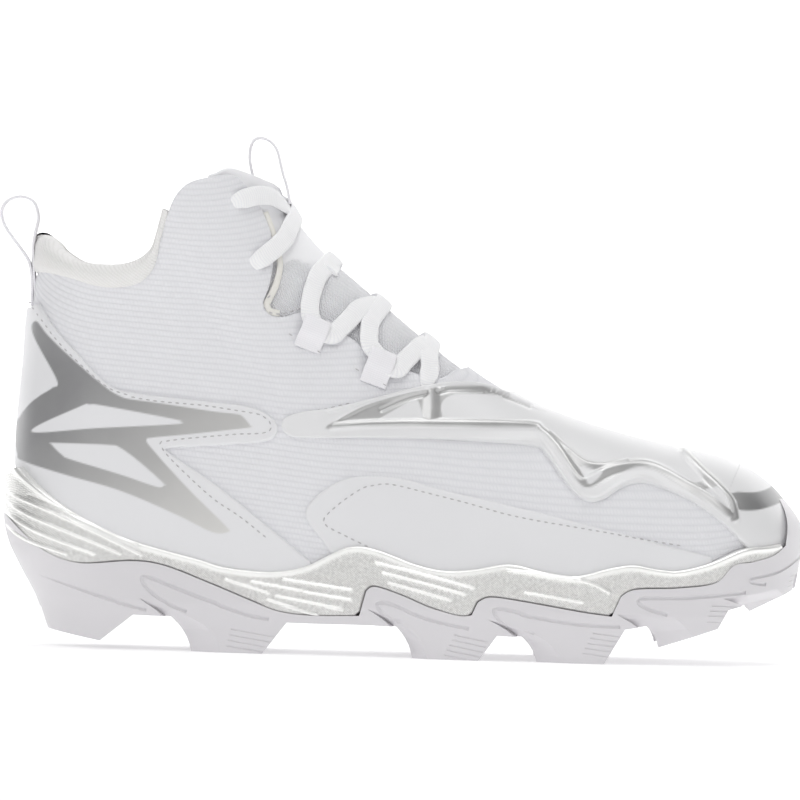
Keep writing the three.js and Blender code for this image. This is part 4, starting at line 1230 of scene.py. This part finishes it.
def makeInsole():
    line = smoothLine(solePoints(feather), 2.0)
    line = line[(line[:, 0] > xAt(0.066)) & (line[:, 0] < xAt(0.976))]
    rows = []
    for x, z in line:
        left = onLast(np.array([x]), np.array([z + 7.5]), lateral, -2.6)[0]
        right = onLast(np.array([x]), np.array([z + 7.5]), medial, -2.6)[0]
        share = np.linspace(0, 1, 41)[:, None]
        across = left + (right - left) * share
        across[:, 2] = z + 4.0 + 2.2 * (2 * share[:, 0] - 1) ** 4
        rows.append(across)
    bm = sheetOf(rows)
    return finishPiece("insole_bed", bm, [insoleKnit], ["insole"], wall=3.0)


makeUpper()
makeCollar()
makeTongue()
makeInsole()

# Overlays: film skins on the upper with a printed or moulded face

counter = {
    "outline": [(0.037, 0.611), (0.047, 0.578), (0.064, 0.527), (0.09, 0.468), (0.116, 0.41), (0.139, 0.374), (0.175, 0.36),
                (0.25, 0.346), (0.306, 0.335), (0.334, 0.31), (0.344, 0.276), (0.33, 0.244), (0.269, 0.229),
                (0.21, 0.217), (0.212, 0.2), (0.268, 0.123), (0.334, 0.016), (0.396, -0.088)],
    "thickness": 1.3,
    "silver": [(41.4, 321.4), (38, 334), (61.6, 380), (57, 388), (44.6, 396), (32, 407), (19.6, 425), (18.7, 436),
               (22.3, 454), (26.8, 460), (71, 474), (125, 490), (179, 513), (214, 530), (230, 530), (228.6, 525),
               (196, 493), (175, 471), (152, 445), (149, 439), (153.6, 437), (196, 433), (250, 427), (252, 425),
               (244.6, 416), (237.5, 413.4), (214, 410.7), (161, 402.7), (134, 399), (123, 396), (107, 386),
               (80, 362), (53.6, 336)],
    "windows": [[(36.6, 431), (84, 406), (93, 404), (107, 405.4), (178.6, 419), (181.6, 421.4), (178.6, 423.5),
                 (100, 427.5)],
                [(56.8, 444), (59, 442.3), (110.7, 444), (123, 447), (143, 461.6), (166, 482), (166.4, 484),
                 (159, 485.4), (125, 474), (75, 458.6), (66, 453.6)]],
}
sidePanel = {
    "outline": [(0.41, -0.04), (0.405, -0.023), (0.382, 0.045), (0.394, 0.098), (0.43, 0.148), (0.473, 0.157),
                (0.51, 0.148), (0.553, 0.124), (0.62, 0.095), (0.716, 0.05), (0.8, 0.009), (0.895, -0.036)],
    "thickness": 0.9,
}
cage = {
    "top": [(0.349, 0.278), (0.351, 0.305), (0.375, 0.325), (0.406, 0.335), (0.469, 0.369), (0.504, 0.39),
            (0.539, 0.406), (0.569, 0.412), (0.6, 0.407)],
    "low": [(0.96, -0.015), (0.955, -0.03), (0.937, -0.018), (0.901, 0.056), (0.862, 0.113), (0.824, 0.146),
            (0.799, 0.158), (0.776, 0.145), (0.755, 0.115), (0.735, 0.104), (0.716, 0.125), (0.698, 0.171),
            (0.679, 0.224), (0.66, 0.249), (0.558, 0.26), (0.458, 0.26), (0.368, 0.256)],
    "thickness": 1.1,
    "silver": [[(326, 428), (345, 416), (366, 406), (401, 396), (429, 391), (450, 388), (472, 388), (486, 390),
                (507, 399), (528, 408), (545, 415), (535, 412), (500, 399), (472, 396), (450, 397), (441, 404),
                (441, 414), (447, 420), (486, 422), (521, 424), (531, 425.5), (547, 434), (561, 446), (577, 459),
                (588, 463), (600, 464), (618, 462), (636, 462), (654, 467.5), (672, 477), (686, 484), (695, 484),
                (700, 480), (690, 466), (677, 452), (690, 456), (707.5, 475), (722, 491), (731, 507), (732.5, 519),
                (728, 522), (725, 520), (707.5, 505), (684, 491), (663, 478), (645, 470), (627, 471), (597, 485),
                (586, 488), (575, 482), (565, 466), (547, 442.5), (534, 432), (526, 430), (444, 428), (360, 427)],
               [(742, 463), (757.5, 468), (778, 483), (788, 499), (775, 506), (752, 512), (733, 511), (731, 503),
                (725, 494)]],
    "windows": [[(384, 416), (412, 401), (417, 401), (422, 415), (420, 419), (381, 420)],
                [(579, 467.5), (597, 473), (599, 477), (588, 485), (582.5, 480)],
                [(702, 493), (715, 491), (724.5, 511)],
                [(725, 493), (734, 495), (750, 496), (765, 492), (767, 487), (757.5, 476), (743, 464)]],
    # raised lines: points, half width, height
    "ridges": [([(334, 426), (384, 424), (444, 424.5), (526, 427), (540, 433), (556, 449), (570, 470), (580, 481),
                 (590, 479), (606, 471), (627, 466.5), (645, 466.5), (663, 473), (684, 485), (705, 497), (724, 516)],
                2.2, 1.3),
               ([(430, 390), (431, 405), (430, 422)], 3.4, 0.9),
               ([(331, 424), (366, 406), (401, 396), (429, 391), (470, 391), (500, 399)], 1.2, 0.5),
               ([(548, 436), (566, 452), (584, 465), (604, 467), (625, 464)], 1.6, 1.1),
               ([(682, 455), (700, 474), (714, 488), (726, 503), (730, 519)], 2.0, 1.2),
               ([(328, 412), (366, 402), (401, 392), (429, 387), (447, 384), (472, 385), (488, 389), (507, 397)],
                0.9, 0.55),
               ([(292, 437), (334, 438), (400, 439.5), (472, 441), (530, 443), (541, 449), (558, 472), (571, 489),
                 (580, 497), (591, 499), (600, 497), (618, 486), (632, 480), (643, 480), (659, 488), (681, 500),
                 (699, 512), (716, 527), (732, 542)], 1.3, 0.5)],
    "hollows": [([(381, 410), (409, 398.5), (439, 392.5), (452, 390.5), (486, 393), (528, 409)], 1.3, 0.7)],
}


def silverOf(look):
    outlines = look["silver"] if isinstance(look["silver"][0], list) else [look["silver"]]
    return lambda points: areaMask(points, outlines) * (1 - areaMask(points, look["windows"]))


def overlayLines(outline, thickness, bottomStart, bottomEnd, back=None):
    top = upperPoints(outline)
    bottom = sunkCup(bottomStart, bottomEnd, 3.0)
    rows = edgeRows(gap + thickness)
    if back is None:
        return [(smoothLine(top, 0.8), rows), (np.vstack([top[-1], bottom[::-1], top[0]]), rows)]
    return [(back, seamRows(gap + thickness)), (smoothLine(np.vstack([back[-1], top]), 0.8), rows),
            (np.vstack([top[-1], bottom[::-1], back[0]]), rows)]


def makeCounter():
    bottom = sunkCup(0.04, 0.39, 3.0)
    back = silhouette(heelInside, bottom[0] - (30, 0), (float(xAt(0.0305)), float(zUp(0.624))))
    lines = overlayLines(counter["outline"], counter["thickness"], 0.04, 0.39, back)
    bm = dressSkin("counter", flatSkin(lines, 0.5, gap + counter["thickness"]), paints={"silver": silverOf(counter)})
    return finishPiece("heel_counter_film", bm, [counterFilm], ["heel_counter"])


def makeSidePanel(name, side):
    lines = overlayLines(sidePanel["outline"], sidePanel["thickness"], 0.42, 0.89)
    bm = dressSkin(name, flatSkin(lines, 1.0, gap + sidePanel["thickness"]), sides=(side,))
    return finishPiece(name + "_film", bm, [filmWhite], [name])


# The cap's front stands out a little over the last
def toeSwell(points):
    front = np.clip((points[:, 0] - 112.0) / 28.0, 0, 1)
    return 1.5 * front * front * (3 - 2 * front)


def makeCage():
    low = upperPoints(cage["low"])
    crest = silhouette(footInside, upperPoints([(0.63, 0.41)])[0], (float(low[0][0]) + 8, float(low[0][1]) + 1))
    top = smoothLine(np.vstack([upperPoints(cage["top"]), crest[0]]), 0.8)
    low = smoothLine(np.vstack([crest[-1], low, top[0]]), 0.8)
    rows = edgeRows(gap + cage["thickness"])
    lines = [(top, rows), (crest, seamRows(gap + cage["thickness"])), (low, rows)]
    hollows = [(line, halfWidth, -depth) for line, halfWidth, depth in cage["hollows"]]
    relief = cage["ridges"] + hollows
    # The rise paint carries the relief's height to the film's painted shade and highlights
    bm = dressSkin("cage", flatSkin(lines, 0.5, gap + cage["thickness"]),
                   reliefAt=lambda points: lineRelief(relief, points) + toeSwell(points),
                   paints={"silver": silverOf(cage), "rise": lambda points: lineRelief(relief, points)})
    return finishPiece("toe_cage_film", bm, [cageFilm], ["toe_cage"], sharp=70)


makeCounter()
makeSidePanel("side_panel_lateral", lateral)
makeSidePanel("side_panel_medial", medial)
makeCage()

# Laces, loops and straps

laces = {
    "width": 7.4,
    "thickness": 1.7,
    "pinch": 0.55,  # share of its width that a lace keeps where it enters a hole
    "pinchReach": 9.0,
    # crossings over the ridge: share of the upper's height, height of the lower and of the upper run
    "crossings": [(0.869, -2.2, -0.5), (0.745, -2.3, -0.7), (0.635, -2.2, -0.6), (0.53, -1.8, 0.0)],
    # halves of the runs on one side, as points of the picture with heights above the last
    "up": [[(232, 206, -3.0), (235.5, 203.5, -0.4), (241, 201, 1.3), (256, 197, 1.4), (268, 197.5, 1.2),
            (280, 202, 0.2)],
           [(336, 290, -4.2), (330, 280, -2.6), (332, 268, -1.2)],
           [(318, 331, 1.6), (331, 336, 1.6), (341, 328, 0.8), (352, 317, -0.4), (362, 307, -0.6)],
           [(381, 365, 1.8), (395, 371, 1.8), (404, 362, 0.9), (414, 352, 0.2), (422, 345, 0.2)]],
    "down": [[(250, 268, -3.0), (254.5, 264.5, -0.4), (261, 260, 1.3), (274, 250, 1.2), (286, 238, 0.2),
              (292, 226, -0.2)],
             [(313, 325, 1.6), (309.5, 313, 1.4), (311, 301, 0.2), (315, 288, -0.8), (321, 273, -0.8)],
             [(377, 357, 1.8), (369, 346, 1.6), (369.5, 332, 0.2), (373, 318, -0.6)],
             [(427, 392, -1.6), (427, 382, 0.4), (429, 370, 1.0), (428.5, 356, 0.8)]],
}


def halfRun(points, side):
    places = fromPhoto([(px, py) for px, py, high in points])
    heights = np.array([high for px, py, high in points])
    base = onLast(places[:, 0], places[:, 1], side, heights)
    return base, onLast(places[:, 0], places[:, 1], side, heights + 1) - base


def ridgeSpot(up, height):
    crest = silhouette(legInside, upperPoints([(0.62, 0.41)])[0], upperPoints([(0.34, 0.975)])[0], 0.5)
    spot = crest[np.abs(crest[:, 1] - zUp(up)).argmin()]
    base = onLast(np.array([spot[0]]), np.array([spot[1]]), lateral, np.array([0.0, 1.0])[:1])[0]
    out = onLast(np.array([spot[0]]), np.array([spot[1]]), lateral, np.array([1.0]))[0] - base
    return base + out * height, out


def makeLaces():
    bm = bmesh.new()
    for number, (up, lowHigh, overHigh) in enumerate(laces["crossings"]):
        for first, second, high in ((lateral, medial, lowHigh), (medial, lateral, overHigh)):
            start, startNormals = halfRun(laces["up"][number], first)
            end, endNormals = halfRun(laces["down"][number], second)
            if number == 1 and first == lateral:  # this run passes under the tongue's edge on the outer side
                start, startNormals = start[2:], startNormals[2:]
            spot, out = ridgeSpot(up, high)
            path = np.vstack([start, spot, end[::-1]])
            normals = np.vstack([startNormals, out, endNormals[::-1]])
            both = smoothLine(np.hstack([path, normals]), 0.9)
            reach = np.arange(len(both)) * 0.9
            holes = [number == 0, number == 0 or (number == 3)]
            width = np.full(len(both), laces["width"])
            for end, (pinched, away) in enumerate(zip(holes, (reach, reach[::-1]))):
                if pinched:
                    opened = np.clip(away / laces["pinchReach"], 0, 1)
                    width = width * (laces["pinch"] + (1 - laces["pinch"]) * opened * opened * (3 - 2 * opened))
            bm = joinInto(bm, stripAlong(both[:, :3], both[:, 3:], width, laces["thickness"], 18, 2.6))
    return finishPiece("laces_flat", bm, [laceWeave], ["laces"], sharp=80)


webbing = {
    "width": 10.4,
    "thickness": 0.9,
    "bases": [[(310, 341), (317, 320.5)], [(375.5, 375.5), (382.5, 353.5)]],
    # along from the sewn base to the tip, and height
    "path": [(-0.42, 0.7), (-0.15, 0.8), (0.1, 1.7), (0.3, 3.0), (0.55, 3.5), (0.8, 3.5), (0.96, 2.9), (1.03, 1.7),
             (0.96, 0.5), (0.75, 0.2)],
}


def makeWebbing(number, side, name):
    base, tip = fromPhoto(webbing["bases"][number])
    share, high = np.array(webbing["path"]).T
    x = base[0] + (tip[0] - base[0]) * share
    z = base[1] + (tip[1] - base[1]) * share
    path = onLast(x, z, side, high)
    normals = onLast(x, z, side, high + 1) - path
    middle = normals[3]
    both = smoothLine(path, 0.6)
    return finishPiece(name + "_web", foldedStrip(both, middle, webbing["width"], webbing["thickness"]),
                       [webbingWeave], [name], sharp=60)


# A strip that bends in one plane only, so its width keeps one direction
def foldedStrip(path, face, width, thickness):
    way = path[len(path) // 3] - path[0]
    across = np.cross(way, face)
    across /= np.linalg.norm(across)
    ways = np.gradient(path, axis=0)
    normals = np.cross(across, ways)
    return stripAlong(path, normals, width, thickness, 18, 5)


pullLoops = {
    "heel_pull_loop": [(0.034, 0.6), (0.0325, 0.643), (0.0305, 0.7), (0.0293, 0.753), (0.0315, 0.791), (0.0345, 0.826),
                       (0.032, 0.856), (0.026, 0.876), (0.014, 0.885), (0.002, 0.881), (-0.008, 0.866),
                       (-0.012, 0.84), (-0.008, 0.808), (0.002, 0.776), (0.0135, 0.744), (0.0215, 0.72),
                       (0.0258, 0.7), (0.0283, 0.672), (0.0292, 0.64), (0.0298, 0.59)],
    "tongue_pull_loop": [(0.3505, 0.885), (0.346, 0.93), (0.339, 0.977), (0.333, 1.026), (0.325, 1.051),
                         (0.314, 1.062), (0.304, 1.058), (0.299, 1.038), (0.298, 1.008), (0.3, 0.981),
                         (0.303, 0.955), (0.307, 0.915)],
}


def makePullLoop(name, rows):
    line = smoothLine(upperPoints(rows), 0.7)
    path = np.column_stack([line[:, 0], np.zeros(len(line)), line[:, 1]])
    ways = np.gradient(path, axis=0)
    normals = np.cross(ways, (0, 1, 0))
    return finishPiece(name + "_strap", stripAlong(path, normals, 13.0, 1.1, 20, 6), [webbingWeave], [name],
                       sharp=60)


makeLaces()
for number in (0, 1):
    for side, word in ((lateral, "lateral"), (medial, "medial")):
        makeWebbing(number, side, f"lace_loop_{word}_{number + 1}")
for name, rows in pullLoops.items():
    makePullLoop(name, rows)

# Stitches: small ellipsoids along lines, a height above the last

stitching = {
    "length": 1.7,
    "width": 0.55,
    "pitch": 2.8,
    "lines": [
        ([(135.7, 397), (161, 401), (205, 405), (232, 409), (261, 414), (268, 419), (273, 425), (266, 432),
          (232, 434), (171, 440), (164, 446), (179, 464), (214, 496), (242, 515), (266, 534)], 1.65),
        ([(34, 303), (48, 322), (64, 343), (88, 368), (110, 387), (128, 394)], 1.65),
        ([(367, 543.5), (341, 531), (327, 523), (326, 516), (338.5, 503.5), (361, 488), (376, 484), (387, 483),
          (402, 485.6), (430, 492.6), (467, 502), (514, 515), (580, 527), (598, 530), (636, 537), (675, 543.5)], 1.25),
        ([(291, 428), (295, 421), (302, 413), (327, 408), (348, 403)], 0.05),
        ([(291, 335), (319, 352)], 0.9),
        ([(357, 370), (384, 385)], 0.9),
        ([(270, 297), (264, 304), (270, 312), (283, 314), (300, 309)], 0.05),
    ],
}


throatLining = {
    "line": [(268, 212), (275, 231), (280, 250), (282, 266), (278, 284), (272, 297), (268.5, 304), (272, 311),
             (281, 313)],
    "height": -0.9,
    "width": 2.6,
    "thickness": 1.2,
}


def makeThroatLining():
    bm = bmesh.new()
    for side in (lateral, medial):
        line = smoothLine(fromPhoto(throatLining["line"]), 0.8)
        places = onLast(line[:, 0], line[:, 1], side, throatLining["height"])
        normals = onLast(line[:, 0], line[:, 1], side, throatLining["height"] + 1) - places
        bm = joinInto(bm, stripAlong(places, normals, throatLining["width"], throatLining["thickness"], 10, 2.5))
    return finishPiece("throat_lining", bm, [liningCream], [], sharp=80)


def makeStitches():
    bm = bmesh.new()
    for points, height in stitching["lines"]:
        line = smoothLine(fromPhoto(points), stitching["pitch"])
        for side in (lateral, medial):
            places = onLast(line[:, 0], line[:, 1], side, height)
            normals = onLast(line[:, 0], line[:, 1], side, height + 1) - places
            ways = np.gradient(places, axis=0)
            for place, normal, way in zip(places, normals, ways):
                way = Vector(way).normalized()
                up = (Vector(normal) - way * way.dot(Vector(normal))).normalized()
                turn = Matrix((way, up.cross(way), up)).transposed().to_4x4()
                size = Matrix.Diagonal((stitching["length"] / 2, stitching["width"] / 2, 0.22, 1))
                bmesh.ops.create_uvsphere(bm, u_segments=6, v_segments=4, radius=1.0,
                                          matrix=Matrix.Translation(place) @ turn @ size)
    return finishPiece("stitches", bm, [threadGrey], [], sharp=180)


makeThroatLining()
makeStitches()
